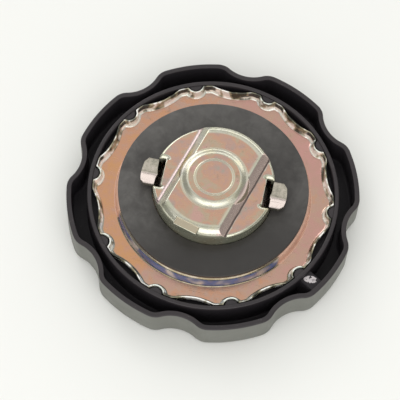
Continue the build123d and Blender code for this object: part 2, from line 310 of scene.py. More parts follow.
def shell(
    name: str, loops: Sequence[Ring], segments: int, settle: Settle = as_drawn
) -> bpy.types.Object:
    """Closed shell through loops round the axis, extruded from one to the next.

    Args:
        name: Name of the new piece.
        loops: The loops in order.  The last joins the first where they are the same.
        segments: Points in each loop.
        settle: Turns (angle, reach, level) into the point's place.

    Returns:
        The new object, smooth, with its faces outwards.
    """
    bpy.ops.object.select_all(action="DESELECT")
    bpy.ops.mesh.primitive_circle_add(vertices=segments, radius=1.0, fill_type="NOTHING")
    piece = bpy.context.object
    piece.name = name
    piece.data.name = name
    select_alone(piece)
    bpy.ops.object.mode_set(mode="EDIT")
    bpy.ops.mesh.select_all(action="SELECT")
    for index, loop in enumerate(loops):
        if index:
            bpy.ops.mesh.extrude_edges_move()
        net = bmesh.from_edit_mesh(piece.data)
        for vertex in net.verts:
            if vertex.select:
                angle = math.atan2(vertex.co.y, vertex.co.x)
                vertex.co = settle(*loop.point(angle)) * MM
        bmesh.update_edit_mesh(piece.data)
    bpy.ops.mesh.select_all(action="SELECT")
    bpy.ops.mesh.remove_doubles(threshold=MERGE * MM)
    bpy.ops.mesh.normals_make_consistent(inside=False)
    bpy.ops.object.mode_set(mode="OBJECT")
    smooth(piece)
    return piece


def apply_modifiers(piece: bpy.types.Object) -> None:
    """Apply every modifier of a piece in order.

    Args:
        piece: The piece.
    """
    select_alone(piece)
    for modifier in list(piece.modifiers):
        bpy.ops.object.modifier_apply(modifier=modifier.name)


def cut(piece: bpy.types.Object, cutters: Sequence[bpy.types.Object]) -> None:
    """Cut boxes or drums out of a piece and remove them.

    Args:
        piece: The piece, which has to be a closed mesh.
        cutters: The boxes and drums.
    """
    for cutter in cutters:
        opening = piece.modifiers.new("cut", "BOOLEAN")
        opening.operation = "DIFFERENCE"
        opening.solver = "EXACT"
        opening.object = cutter
    apply_modifiers(piece)
    for cutter in cutters:
        bpy.data.objects.remove(cutter)


def block(name: str, middle: Vector, size: Vector, turn: float = 0.0) -> bpy.types.Object:
    """Box with its place in its mesh.

    Args:
        name: Name of the box.
        middle: Middle of the box in millimetres, before it is turned.
        size: Its full size in millimetres.
        turn: Turn about the cap's axis.

    Returns:
        The new object.
    """
    bpy.ops.mesh.primitive_cube_add(size=1.0)
    box = bpy.context.object
    box.name = name
    place = Matrix.Translation(middle * MM) @ Matrix.Diagonal((size * MM).to_4d())
    box.data.transform(Matrix.Rotation(turn, 4, "Z") @ place)
    return box


def ease_edges(
    piece: bpy.types.Object, width: float, angle: float = 40.0, steps: int = 2
) -> None:
    """Round the sharp edges of a piece.

    Args:
        piece: The piece.
        width: Width of the rounding in millimetres.
        angle: Edges that turn by more than this many degrees are rounded.
        steps: Spans across the rounding.
    """
    bevel = piece.modifiers.new("eased", "BEVEL")
    bevel.width = width * MM
    bevel.segments = steps
    bevel.limit_method = "ANGLE"
    bevel.angle_limit = math.radians(angle)
    bevel.harden_normals = False
    apply_modifiers(piece)


def smooth(piece: bpy.types.Object, angle: float = 38.0) -> None:
    """Shade a piece smooth, with edges left sharp where they turn by more than an angle."""
    select_alone(piece)
    bpy.ops.object.shade_smooth_by_angle(angle=math.radians(angle))


# --------------------------------------------------------------------------------------
# Shader tools
# --------------------------------------------------------------------------------------

Socket = bpy.types.NodeSocket
Film = tuple[tuple[float, Colour], ...]


class Graph:
    """Short way to place and join the nodes of one material or group."""

    def __init__(self, tree: bpy.types.NodeTree) -> None:
        """Work on a node tree."""
        self.tree = tree

    def join(self, value: object, socket: Socket) -> None:
        """Join a socket to another, or set it where the value is a plain one.

        Args:
            value: The value, or the socket it comes from.
            socket: The socket that takes it.
        """
        if isinstance(value, Socket):
            self.tree.links.new(value, socket)
        else:
            socket.default_value = value

    def add(
        self, kind: str, inputs: dict | None = None, **settings: object
    ) -> bpy.types.Node:
        """Place a node.

        Args:
            kind: Blender's name for the node type.
            inputs: Socket name or number to a value, or to a socket to join to it.
            settings: Properties of the node.

        Returns:
            The new node.
        """
        node = self.tree.nodes.new(kind)
        for name, value in settings.items():
            setattr(node, name, value)
        for name, value in (inputs or {}).items():
            self.join(value, node.inputs[name])
        return node

    def math(self, operation: str, first: object, second: object = 0.5) -> Socket:
        """Result of a math node on two values or sockets."""
        inputs = {0: first, 1: second}
        return self.add("ShaderNodeMath", inputs, operation=operation).outputs[0]

    def product(self, *factors: object) -> Socket:
        """Product of two or more values or sockets."""
        return reduce(partial(self.math, "MULTIPLY"), factors)

    def total(self, *terms: object) -> Socket:
        """Sum of two or more values or sockets."""
        return reduce(partial(self.math, "ADD"), terms)

    def greatest(self, *levels: object) -> Socket:
        """Greatest of two or more values or sockets."""
        return reduce(partial(self.math, "MAXIMUM"), levels)

    def length(self, across: Socket, along: Socket) -> Socket:
        """Distance from two legs at right angles."""
        squares = (self.math("POWER", leg, 2.0) for leg in (across, along))
        return self.math("SQRT", self.total(*squares))

    def axes(self, vector: Socket) -> tuple[Socket, ...]:
        """The three parts of a vector."""
        return tuple(self.add("ShaderNodeSeparateXYZ", {0: vector}).outputs)

    def ramp(self, factor: Socket, low: object, high: object) -> Socket:
        """Smooth mask that rises from 0 at low to 1 at high.

        Args:
            factor: The value that the mask follows.
            low: Value at which the mask is 0.
            high: Value at which the mask is 1.

        Returns:
            The mask.
        """
        inputs = {"Value": factor, "From Min": low, "From Max": high}
        node = self.add("ShaderNodeMapRange", inputs, interpolation_type="SMOOTHSTEP")
        return node.outputs["Result"]

    def edge(self, distance: Socket, low: float, high: float) -> Socket:
        """Smooth mask that rises from 0 at low to 1 at high, both in millimetres."""
        return self.ramp(distance, low * MM, high * MM)

    def span(self, factor: Socket, low: float, high: float) -> Socket:
        """Value from low to high as a factor goes from 0 to 1."""
        inputs = {"Value": factor, "To Min": low, "To Max": high}
        return self.add("ShaderNodeMapRange", inputs).outputs["Result"]

    def noise(
        self, place: Socket, scale: object, detail: float, rough: float = 0.5, **more: float
    ) -> Socket:
        """Noise on object coordinates.

        Args:
            place: The coordinates.
            scale: Blotches in a metre.
            detail: Count of the finer layers.
            rough: Strength of the finer layers.
            more: Further inputs of the noise node.

        Returns:
            The noise, from 0 to 1 round 0.5.
        """
        inputs = {"Vector": place, "Scale": scale, "Detail": detail, "Roughness": rough}
        return self.add("ShaderNodeTexNoise", inputs | more).outputs["Fac"]

    def mix(self, factor: object, first: object, second: object) -> Socket:
        """Colour mixed from two colours."""
        inputs = {0: factor, 6: first, 7: second}
        return self.add("ShaderNodeMix", inputs, data_type="RGBA").outputs[2]

    def coats(self, colour: object, *coats: tuple[object, object]) -> Socket:
        """Colour with others laid over it in order.

        Args:
            colour: The colour beneath.
            coats: Mask and colour of each coat.

        Returns:
            The colour on top.
        """
        for mask, coat in coats:
            colour = self.mix(mask, colour, coat)
        return colour

    def colours(self, factor: Socket, film: Film) -> Socket:
        """Colour read from a range of colours.

        Args:
            factor: Place in the range.
            film: The colours with their places in the range.

        Returns:
            The colour.
        """
        node = self.add("ShaderNodeValToRGB", {"Fac": factor})
        stops = node.color_ramp.elements
        while len(stops) < len(film):
            stops.new(0.5)
        for stop, (position, colour) in zip(stops, film):
            stop.position = position
            stop.color = colour
        return node.outputs["Color"]


class Effect(Enum):
    """Surface effects that several finishes share."""

    GRAIN = "fine_grain"
    BLOTCH = "blotches"
    SCRATCH = "scratches"


def new_group(
    effect: Effect, inputs: dict[str, float], output: str
) -> tuple[Graph, dict[str, Socket], Socket]:
    """Empty shader group with a place, float inputs and one float output.

    Args:
        effect: The effect, which names the group.
        inputs: Input name to its default.
        output: Output name.

    Returns:
        The group's graph, its input sockets and its output socket.
    """
    tree = bpy.data.node_groups.new(effect.value, "ShaderNodeTree")
    new_socket = tree.interface.new_socket
    new_socket(name="Place", in_out="INPUT", socket_type="NodeSocketVector")
    for name, value in inputs.items():
        socket = new_socket(name=name, in_out="INPUT", socket_type="NodeSocketFloat")
        socket.default_value = value
    new_socket(name=output, in_out="OUTPUT", socket_type="NodeSocketFloat")
    graph = Graph(tree)
    entry = graph.add("NodeGroupInput")
    leave = graph.add("NodeGroupOutput")
    return graph, {socket.name: socket for socket in entry.outputs}, leave.inputs[output]


def grain_group() -> None:
    """Height of a fine moulded or rolled grain."""
    defaults = {"Scale": 3000.0, "Coarse": 300.0}
    graph, given, height = new_group(Effect.GRAIN, defaults, "Height")
    fine = graph.noise(given["Place"], given["Scale"], 2.0)
    coarse = graph.noise(given["Place"], given["Coarse"], 4.0)
    graph.join(graph.total(graph.product(fine, 0.4), graph.product(coarse, 0.6)), height)


def blotch_group() -> None:
    """Cloudy blotches with broken edges, from 0 to 1."""
    defaults = {"Scale": 80.0, "Amount": 0.5, "Edge": 0.12}
    graph, given, mask = new_group(Effect.BLOTCH, defaults, "Mask")
    cloud = graph.noise(given["Place"], given["Scale"], 5.0, 0.62, Distortion=0.6)
    middle = graph.math("SUBTRACT", 1.0, given["Amount"])
    low = graph.math("SUBTRACT", middle, given["Edge"])
    high = graph.math("ADD", middle, given["Edge"])
    graph.join(graph.ramp(cloud, low, high), mask)


def scratch_group() -> None:
    """Thin scratches in two directions, from 0 to 1."""
    defaults = {"Scale": 60.0, "Amount": 0.5}
    graph, given, mask = new_group(Effect.SCRATCH, defaults, "Mask")
    lines = []
    for turn in (0.5, 2.1):
        inputs = {"Rotation": (0.3, 0.2, turn), "Scale": (1.0, 26.0, 7.0)}
        drawn = graph.add("ShaderNodeMapping", {"Vector": given["Place"], **inputs})
        line = graph.noise(drawn.outputs["Vector"], given["Scale"], 2.0, 0.7)
        lines.append(graph.ramp(line, 0.66, 0.72))
    graph.join(graph.product(graph.greatest(*lines), given["Amount"]), mask)


class Finish:
    """A material being made: its graph, its Principled shader and its measures."""

    def __init__(self, name: str) -> None:
        """Start a material with one Principled shader.

        Args:
            name: Name of the material.
        """
        self.material = bpy.data.materials.new(name)
        self.material.use_nodes = True
        tree = self.material.node_tree
        tree.nodes.clear()
        self.graph = Graph(tree)
        self.shader = self.graph.add("ShaderNodeBsdfPrincipled")
        self.graph.add("ShaderNodeOutputMaterial", {"Surface": self.shader.outputs["BSDF"]})

    @cached_property
    def place(self) -> Socket:
        """Object coordinates, in metres."""
        return self.graph.add("ShaderNodeTexCoord").outputs["Object"]

    @cached_property
    def axes(self) -> tuple[Socket, ...]:
        """The three object coordinates."""
        return self.graph.axes(self.place)

    @cached_property
    def height(self) -> Socket:
        """Height above the plane of the outer face."""
        return self.axes[2]

    @cached_property
    def reach(self) -> Socket:
        """Distance from the cap's axis."""
        return self.graph.length(*self.axes[:2])

    @cached_property
    def normal(self) -> Socket:
        """Direction that the surface faces."""
        return self.graph.add("ShaderNodeNewGeometry").outputs["Normal"]

    @cached_property
    def levelness(self) -> Socket:
        """How level the surface is, from 0 on a wall to 1 on a face."""
        return self.graph.math("ABSOLUTE", self.graph.axes(self.normal)[2])

    def speckle(self, scale: float, detail: float, rough: float = 0.5) -> Socket:
        """Noise on the piece, in blotches a metre."""
        return self.graph.noise(self.place, scale, detail, rough)

    def effect(self, kind: Effect, **inputs: float) -> Socket:
        """A shared effect, placed with its own values.

        Args:
            kind: The effect.
            inputs: Values of its inputs, by name.

        Returns:
            The effect's output.
        """
        group = bpy.data.node_groups[kind.value]
        given = {name.capitalize(): value for name, value in inputs.items()}
        given["Place"] = self.place
        return self.graph.add("ShaderNodeGroup", given, node_tree=group).outputs[0]

    def feed(self, sockets: dict[str, object]) -> None:
        """Set or join sockets of the shader, by name."""
        for name, value in sockets.items():
            self.graph.join(value, self.shader.inputs[name])

    def bump(self, height: Socket, depth_mm: float) -> None:
        """Join a height to the shader's normal as relief of a real depth."""
        inputs = {"Height": height, "Distance": depth_mm * MM, "Strength": 1.0}
        self.feed({"Normal": self.graph.add("ShaderNodeBump", inputs).outputs["Normal"]})


# --------------------------------------------------------------------------------------
# The finishes
# --------------------------------------------------------------------------------------

# Colours of the plate, each with its place in the film's range of thickness.
PAN_LEVEL: Film = (
    (0.30, (0.72, 0.40, 0.35, 1.0)),
    (0.42, (0.67, 0.40, 0.33, 1.0)),
    (0.50, (0.65, 0.43, 0.33, 1.0)),
    (0.58, (0.72, 0.40, 0.27, 1.0)),
    (0.70, (0.76, 0.41, 0.21, 1.0)),
)
PAN_SLOPE: Film = (
    (0.40, (0.24, 0.19, 0.11, 1.0)),
    (0.50, (0.33, 0.27, 0.18, 1.0)),
    (0.60, (0.46, 0.40, 0.32, 1.0)),
)
# Painted reflection: the blue and pale patches of the seat wall, as it shows at a slant on
# its -Y side.
PAN_SEAT_WALL_REFLECTION: Film = (
    (0.33, (0.38, 0.35, 0.32, 1.0)),
    (0.42, (0.12, 0.14, 0.23, 1.0)),
    (0.49, (0.05, 0.11, 0.29, 1.0)),
    (0.56, (0.11, 0.15, 0.27, 1.0)),
    (0.64, (0.46, 0.45, 0.43, 1.0)),
)
# Painted reflections on the flange, from near black to white, standing in for what its
# slopes mirror.
PAN_FLANGE_REFLECTIONS: Film = (
    (0.40, (0.08, 0.08, 0.06, 1.0)),
    (0.47, (0.34, 0.31, 0.20, 1.0)),
    (0.52, (0.50, 0.46, 0.35, 1.0)),
    (0.57, (1.0, 0.98, 0.93, 1.0)),
)
CUP_LEVEL: Film = (
    (0.38, (0.52, 0.48, 0.40, 1.0)),
    (0.45, (0.66, 0.44, 0.37, 1.0)),
    (0.51, (0.74, 0.45, 0.32, 1.0)),
    (0.57, (0.64, 0.51, 0.37, 1.0)),
    (0.63, (0.74, 0.47, 0.40, 1.0)),
)
CUP_SLOPE: Film = (
    (0.40, (0.70, 0.70, 0.54, 1.0)),
    (0.50, (0.78, 0.76, 0.64, 1.0)),
    (0.60, (0.82, 0.78, 0.58, 1.0)),
)
# Painted reflections on the bridge's flanks: pinkish on the +X side, grey to yellow on the
# -X side.
CUP_FLANK_REFLECTIONS: Film = (
    (0.22, (0.86, 0.68, 0.62, 1.0)),
    (0.45, (0.98, 0.82, 0.76, 1.0)),
    (0.72, (0.50, 0.49, 0.43, 1.0)),
    (0.80, (0.54, 0.51, 0.36, 1.0)),
    (0.88, (0.50, 0.47, 0.25, 1.0)),
)
CUP_WALL: Film = (
    (0.36, (0.26, 0.27, 0.20, 1.0)),
    (0.50, (0.33, 0.33, 0.25, 1.0)),
    (0.62, (0.30, 0.27, 0.19, 1.0)),
)
STRAP_LEVEL: Film = (
    (0.38, (0.34, 0.33, 0.27, 1.0)),
    (0.50, (0.60, 0.55, 0.46, 1.0)),
    (0.60, (0.76, 0.68, 0.60, 1.0)),
)
WIRE_FILM: Film = (
    (0.30, (0.50, 0.48, 0.45, 1.0)),
    (0.70, (0.62, 0.60, 0.57, 1.0)),
)
BRASS_FILM: Film = (
    (0.30, (0.66, 0.50, 0.24, 1.0)),
    (0.70, (0.80, 0.64, 0.34, 1.0)),
)


@dataclass(frozen=True)
class MouldedPlastic:
    """Satin black moulded plastic: outer walls painted greyer as a painted reflection of
    the pale table, a scuffed rim, a torn gate mark.
    """

    name: str = "black_plastic"
    colour: Colour = (0.0225, 0.0200, 0.0230, 1.0)
    wall_reflection: Colour = (0.148, 0.150, 0.132, 1.0)
    scuff: Colour = (0.120, 0.088, 0.086, 1.0)
    dust: Colour = (0.16, 0.15, 0.14, 1.0)
    torn: Colour = (0.50, 0.46, 0.47, 1.0)
    roughness: float = 0.34
    rim_level: float = 13.4
    rim_band: Point = (-0.9, 0.2)
    rim_worn: float = 0.25
    blotch_worn: float = 0.3
    grip_reach: float = 46.5
    grip_facing: Point = (0.020, 0.034)
    gate_centre: Point = (38.2, -24.1)
    gate_turn: float = math.radians(6.0)
    gate_size: Point = (2.3, 1.35)
    gate_ragged: float = 0.9
    gate_edge: Point = (0.55, 0.25)
    gate_height: Point = (10.0, 10.5)
    scuff_share: float = 0.22
    dust_share: float = 0.4
    rough_spread: Point = (-0.05, 0.07)
    grip_rough: float = 0.12
    sheen: Point = (0.15, 0.44)
    relief: float = 0.012

    def on_gate(self, finish: Finish) -> Socket:
        """Mask of the pale rough mark where the mould's gate was torn from the web.

        Args:
            finish: The finish being made.

        Returns:
            The mask.
        """
        graph = finish.graph
        half_long, half_wide = self.gate_size
        turn = Matrix.Rotation(-self.gate_turn, 3, "Z")
        shift = -(turn @ Vector((*self.gate_centre, 0.0))) * MM
        moved = {"Location": shift, "Rotation": (0.0, 0.0, -self.gate_turn)}
        local = graph.add("ShaderNodeMapping", {"Vector": finish.place, **moved})
        along, across, height = graph.axes(local.outputs["Vector"])
        ragged = graph.product(finish.speckle(1100.0, 2.0), self.gate_ragged * MM)
        oval = graph.length(along, graph.product(across, half_long / half_wide))
        outline = (half_long + edge for edge in self.gate_edge)
        spot = graph.edge(graph.total(oval, ragged), *outline)
        pits = graph.ramp(finish.speckle(1300.0, 1.0), 0.38, 0.46)
        return graph.product(spot, pits, graph.edge(height, *self.gate_height))

    def on_reflecting_wall(self, finish: Finish) -> Socket:
        """Mask of the outer walls that the hand grips, below the rim, where a painted
        reflection of the pale table lightens the colour.

        Args:
            finish: The finish being made.

        Returns:
            The mask.
        """
        graph = finish.graph
        inputs = {0: finish.normal, 1: finish.place}
        dot = graph.add("ShaderNodeVectorMath", inputs, operation="DOT_PRODUCT")
        facing = graph.ramp(dot.outputs["Value"], *self.grip_facing)
        out = graph.edge(finish.reach, self.grip_reach - 0.3, self.grip_reach)
        below = graph.edge(finish.height, self.rim_level + 0.1, self.rim_level - 0.5)
        return graph.product(facing, out, below)

    def build(self) -> bpy.types.Material:
        """Make the material.

        Returns:
            The material.
        """
        finish = Finish(self.name)
        graph = finish.graph
        wall_reflection = self.on_reflecting_wall(finish)
        gate = self.on_gate(finish)
        rim = graph.edge(finish.height, *(self.rim_level + off for off in self.rim_band))
        blotch = finish.effect(Effect.BLOTCH, scale=90.0, amount=0.5, edge=0.2)
        scratch = finish.effect(Effect.SCRATCH, scale=70.0, amount=0.8)
        marks = graph.total(graph.product(blotch, self.blotch_worn), scratch, self.rim_worn)
        worn = graph.math("MINIMUM", graph.product(rim, marks), 1.0)
        specks = graph.ramp(finish.speckle(1500.0, 1.0), 0.73, 0.78)
        colour = graph.coats(
            self.colour,
            # Painted reflection: the outer walls are painted greyer, as the pale table seen
            # in them.
            (wall_reflection, self.wall_reflection),
            (graph.product(worn, self.scuff_share), self.scuff),
            (graph.product(specks, self.dust_share), self.dust),
            (gate, self.torn),
        )
        rough = graph.span(blotch, *(self.roughness + more for more in self.rough_spread))
        sheen = graph.span(graph.greatest(rim, wall_reflection, gate), *self.sheen)
        finish.feed(
            {
                "Base Color": colour,
                "Roughness": graph.total(rough, graph.product(wall_reflection, self.grip_rough)),
                "Specular IOR Level": sheen,
            }
        )
        grain = finish.effect(Effect.GRAIN, scale=2600.0, coarse=500.0)
        finish.bump(grain, self.relief)
        return finish.material


@dataclass(frozen=True)
class PlatedSteel:
    """Steel with a passivated zinc plate, whose film changes colour with the form.

    The film is one range of colours on level faces, another on slopes and bends and a third
    on steep walls, chosen by how level the surface is.
    """

    name: str
    level: Film
    slope: Film
    wall: Film
    stain: Colour = (0.34, 0.27, 0.19, 1.0)
    stain_amount: float = 0.32
    stain_share: float = 0.5
    stain_rough: float = 0.16
    scratch_rough: float = 0.12
    scratch_depth: float = 0.3
    roughness: float = 0.22
    blotch_scale: float = 55.0
    fineness: float = 7.0
    fine_share: float = 0.4
    relief: float = 0.02
    drift: Point = (0.0, 0.0)
    wall_metal: float = 1.0
    bend_range: Point = (0.998, 0.972)
    wall_range: Point = (0.60, 0.30)

    def bends(self, finish: Finish) -> Socket:
        """Mask of the bends, slopes and walls."""
        return finish.graph.ramp(finish.levelness, *self.bend_range)

    def walls(self, finish: Finish) -> Socket:
        """Mask of the walls."""
        return finish.graph.ramp(finish.levelness, *self.wall_range)

    def fine(self, finish: Finish) -> Socket:
        """Small patches of the film."""
        return finish.speckle(self.blotch_scale * self.fineness, 4.0, 0.6)

    def thickness(self, finish: Finish) -> Socket:
        """Thickness of the film, which is the place in its range of colours.

        Args:
            finish: The finish being made.

        Returns:
            The place in the range.
        """
        graph = finish.graph
        broad = finish.speckle(self.blotch_scale, 3.0, 0.55)
        return graph.total(
            graph.product(broad, 1.0 - self.fine_share),
            graph.product(self.fine(finish), self.fine_share),
            *map(graph.product, finish.axes, self.drift),
        )

    def film(self, finish: Finish) -> Socket:
        """Colour of the film over the whole piece.

        Args:
            finish: The finish being made.

        Returns:
            The colour.
        """
        graph = finish.graph
        thickness = self.thickness(finish)
        return graph.coats(
            graph.colours(thickness, self.level),
            (self.bends(finish), graph.colours(thickness, self.slope)),
            (self.walls(finish), graph.colours(thickness, self.wall)),
        )

    def dull(self, finish: Finish) -> Socket:
        """Mask of the places where the plate scatters light."""
        return self.walls(finish)

    def build(self) -> bpy.types.Material:
        """Make the material.

        Returns:
            The material.
        """
        finish = Finish(self.name)
        graph = finish.graph
        blotch = finish.effect(
            Effect.BLOTCH,
            scale=self.blotch_scale * 4.0,
            amount=self.stain_amount,
            edge=0.08,
        )
        scratch = finish.effect(Effect.SCRATCH, scale=90.0, amount=1.0)
        stained = graph.product(blotch, self.stain_share)
        rough = graph.span(blotch, self.roughness, self.roughness + self.stain_rough)
        scratched = graph.product(scratch, self.scratch_rough)
        finish.feed(
            {
                "Base Color": graph.mix(stained, self.film(finish), self.stain),
                "Roughness": graph.total(rough, scratched),
                "Metallic": graph.span(self.dull(finish), 1.0, self.wall_metal),
            }
        )
        grain = finish.effect(Effect.GRAIN, scale=2200.0, coarse=260.0)
        sunk = graph.product(scratch, self.scratch_depth)
        finish.bump(graph.math("SUBTRACT", grain, sunk), self.relief)
        return finish.material


@dataclass(frozen=True)
class PlatedPan(PlatedSteel):
    """The pan's plate: the seat's -Y side with a painted reflection, blue on its wall, and
    painted highlights and dark reflections on the flange.

    A pair of sizes or angles says where a mask is 0 and where it is 1.
    """

    name: str = "plated_pan"
    level: Film = PAN_LEVEL
    slope: Film = PAN_SLOPE
    wall: Film = PAN_SEAT_WALL_REFLECTION
    roughness: float = 0.17
    drift: Point = (-3.2, -1.0)
    wall_metal: float = 0.3
    flange: Film = PAN_FLANGE_REFLECTIONS
    painted_tip_reflection: Colour = (0.045, 0.050, 0.045, 1.0)
    painted_notch_highlight: Colour = (0.96, 1.0, 0.92, 1.0)
    away_film: Colour = (0.74, 0.45, 0.34, 1.0)
    near_tilt: Point = (-0.10, -1.0)
    near_ragged: float = 8.0
    near_edge: Point = (20.0, 22.6)
    seat_edge: Point = (35.0, 34.8)
    flange_reach: Point = (35.3, 35.8)
    flange_height: Point = (10.93, 11.18)
    notch_ragged: float = 0.05
    notch_edge: Point = (0.095, 0.075)
    notch_share: Point = (0.1, 0.9)
    foot_edge: Point = (0.27, 0.22)
    foot_height: Point = (12.2, 11.9)
    tip_middle: float = math.radians(7.0) + 0.025
    tip_half: float = math.radians(3.4)
    tip_bottom: Point = (11.9, 12.3)
    tip_top: Point = (14.1, 13.8)

    def near(self, finish: Finish) -> Socket:
        """Mask of the raised seat's -Y side, which faces the camera and the key lamp and
        takes the slope colours and the painted reflection on its wall.

        Args:
            finish: The finish being made.

        Returns:
            The mask.
        """
        graph = finish.graph
        tilted = map(graph.product, finish.axes, self.near_tilt)
        ragged = graph.product(finish.speckle(160.0, 2.0), self.near_ragged * MM)
        return graph.edge(graph.total(*tilted, ragged), *self.near_edge)

    def away(self, finish: Finish) -> Socket:
        """Mask of the raised seat's bends and wall, but for its -Y side, which are given
        the annulus colour without the painted reflection.

        Args:
            finish: The finish being made.

        Returns:
            The mask.
        """
        inside = finish.graph.edge(finish.reach, *self.seat_edge)
        far = finish.graph.math("SUBTRACT", 1.0, self.near(finish))
        return finish.graph.product(self.bends(finish), inside, far)

    def on_flange(self, finish: Finish) -> Socket:
        """Mask of the upturned flange.

        Args:
            finish: The finish being made.

        Returns:
            The mask.
        """
        out = finish.graph.edge(finish.reach, *self.flange_reach)
        up = finish.graph.edge(finish.height, *self.flange_height)
        return finish.graph.product(out, up)

    def off_notch(self, finish: Finish) -> Socket:
        """Angle from the middle of the nearest notch, made uneven.

        Args:
            finish: The finish being made.

        Returns:
            The angle.
        """
        graph = finish.graph
        x_axis, y_axis, _ = finish.axes
        angle = graph.math("ARCTAN2", y_axis, x_axis)
        angle = graph.math("ADD", angle, FULL_TURN - FIRST_KEY)
        off = graph.math("PINGPONG", angle, math.pi / KEY_COUNT)
        ragged = graph.product(finish.speckle(260.0, 2.0), self.notch_ragged)
        return graph.total(off, ragged)

    def at_notch_highlights(self, finish: Finish) -> Socket:
        """Mask of the painted highlights: spots in the notches and crescents under the
        tips.

        Args:
            finish: The finish being made.

        Returns:
            The mask.
        """
        graph = finish.graph
        off = self.off_notch(finish)
        low = graph.edge(finish.height, *self.foot_height)
        foot = graph.product(graph.ramp(off, *self.foot_edge), low)
        spots = graph.greatest(foot, graph.ramp(off, *self.notch_edge))
        broken = graph.ramp(finish.speckle(330.0, 2.0), 0.42, 0.54)
        return graph.product(spots, graph.span(broken, *self.notch_share))

    def at_tip_reflections(self, finish: Finish) -> Socket:
        """Mask of the painted dark reflections on the flange's tips, beside each notch.

        Args:
            finish: The finish being made.

        Returns:
            The mask.
        """
        graph = finish.graph
        off = graph.math("SUBTRACT", self.off_notch(finish), self.tip_middle)
        return graph.product(
            graph.ramp(graph.math("ABSOLUTE", off), self.tip_half, self.tip_half * 0.6),
            graph.edge(finish.height, *self.tip_bottom),
            graph.edge(finish.height, *self.tip_top),
        )

    def film(self, finish: Finish) -> Socket:
        """Colour of the film on the dish and seat, and then the flange's painted highlights
        and reflections.

        Args:
            finish: The finish being made.

        Returns:
            The colour.
        """
        graph = finish.graph
        near = self.near(finish)
        thickness = self.thickness(finish)
        # Flange: painted reflections, painted highlights in the notches and painted dark
        # reflections on the tips.
        flange_reflections = graph.coats(
            graph.colours(finish.speckle(240.0, 2.0), self.flange),
            (self.at_notch_highlights(finish), self.painted_notch_highlight),
            (self.at_tip_reflections(finish), self.painted_tip_reflection),
        )
        walls = graph.colours(finish.speckle(140.0, 1.0), self.wall)
        slopes = graph.colours(thickness, self.slope)
        return graph.coats(
            graph.colours(thickness, self.level),
            (graph.product(self.bends(finish), near), slopes),
            # Painted reflection on the seat wall's -Y side, blue with pale patches.
            (graph.product(self.walls(finish), near), walls),
            (self.away(finish), self.away_film),
            (self.on_flange(finish), flange_reflections),
        )

    def dull(self, finish: Finish) -> Socket:
        """Mask of the walls, of the seat's far bends and of all of the flange."""
        places = self.walls(finish), self.away(finish), self.on_flange(finish)
        return finish.graph.greatest(*places)


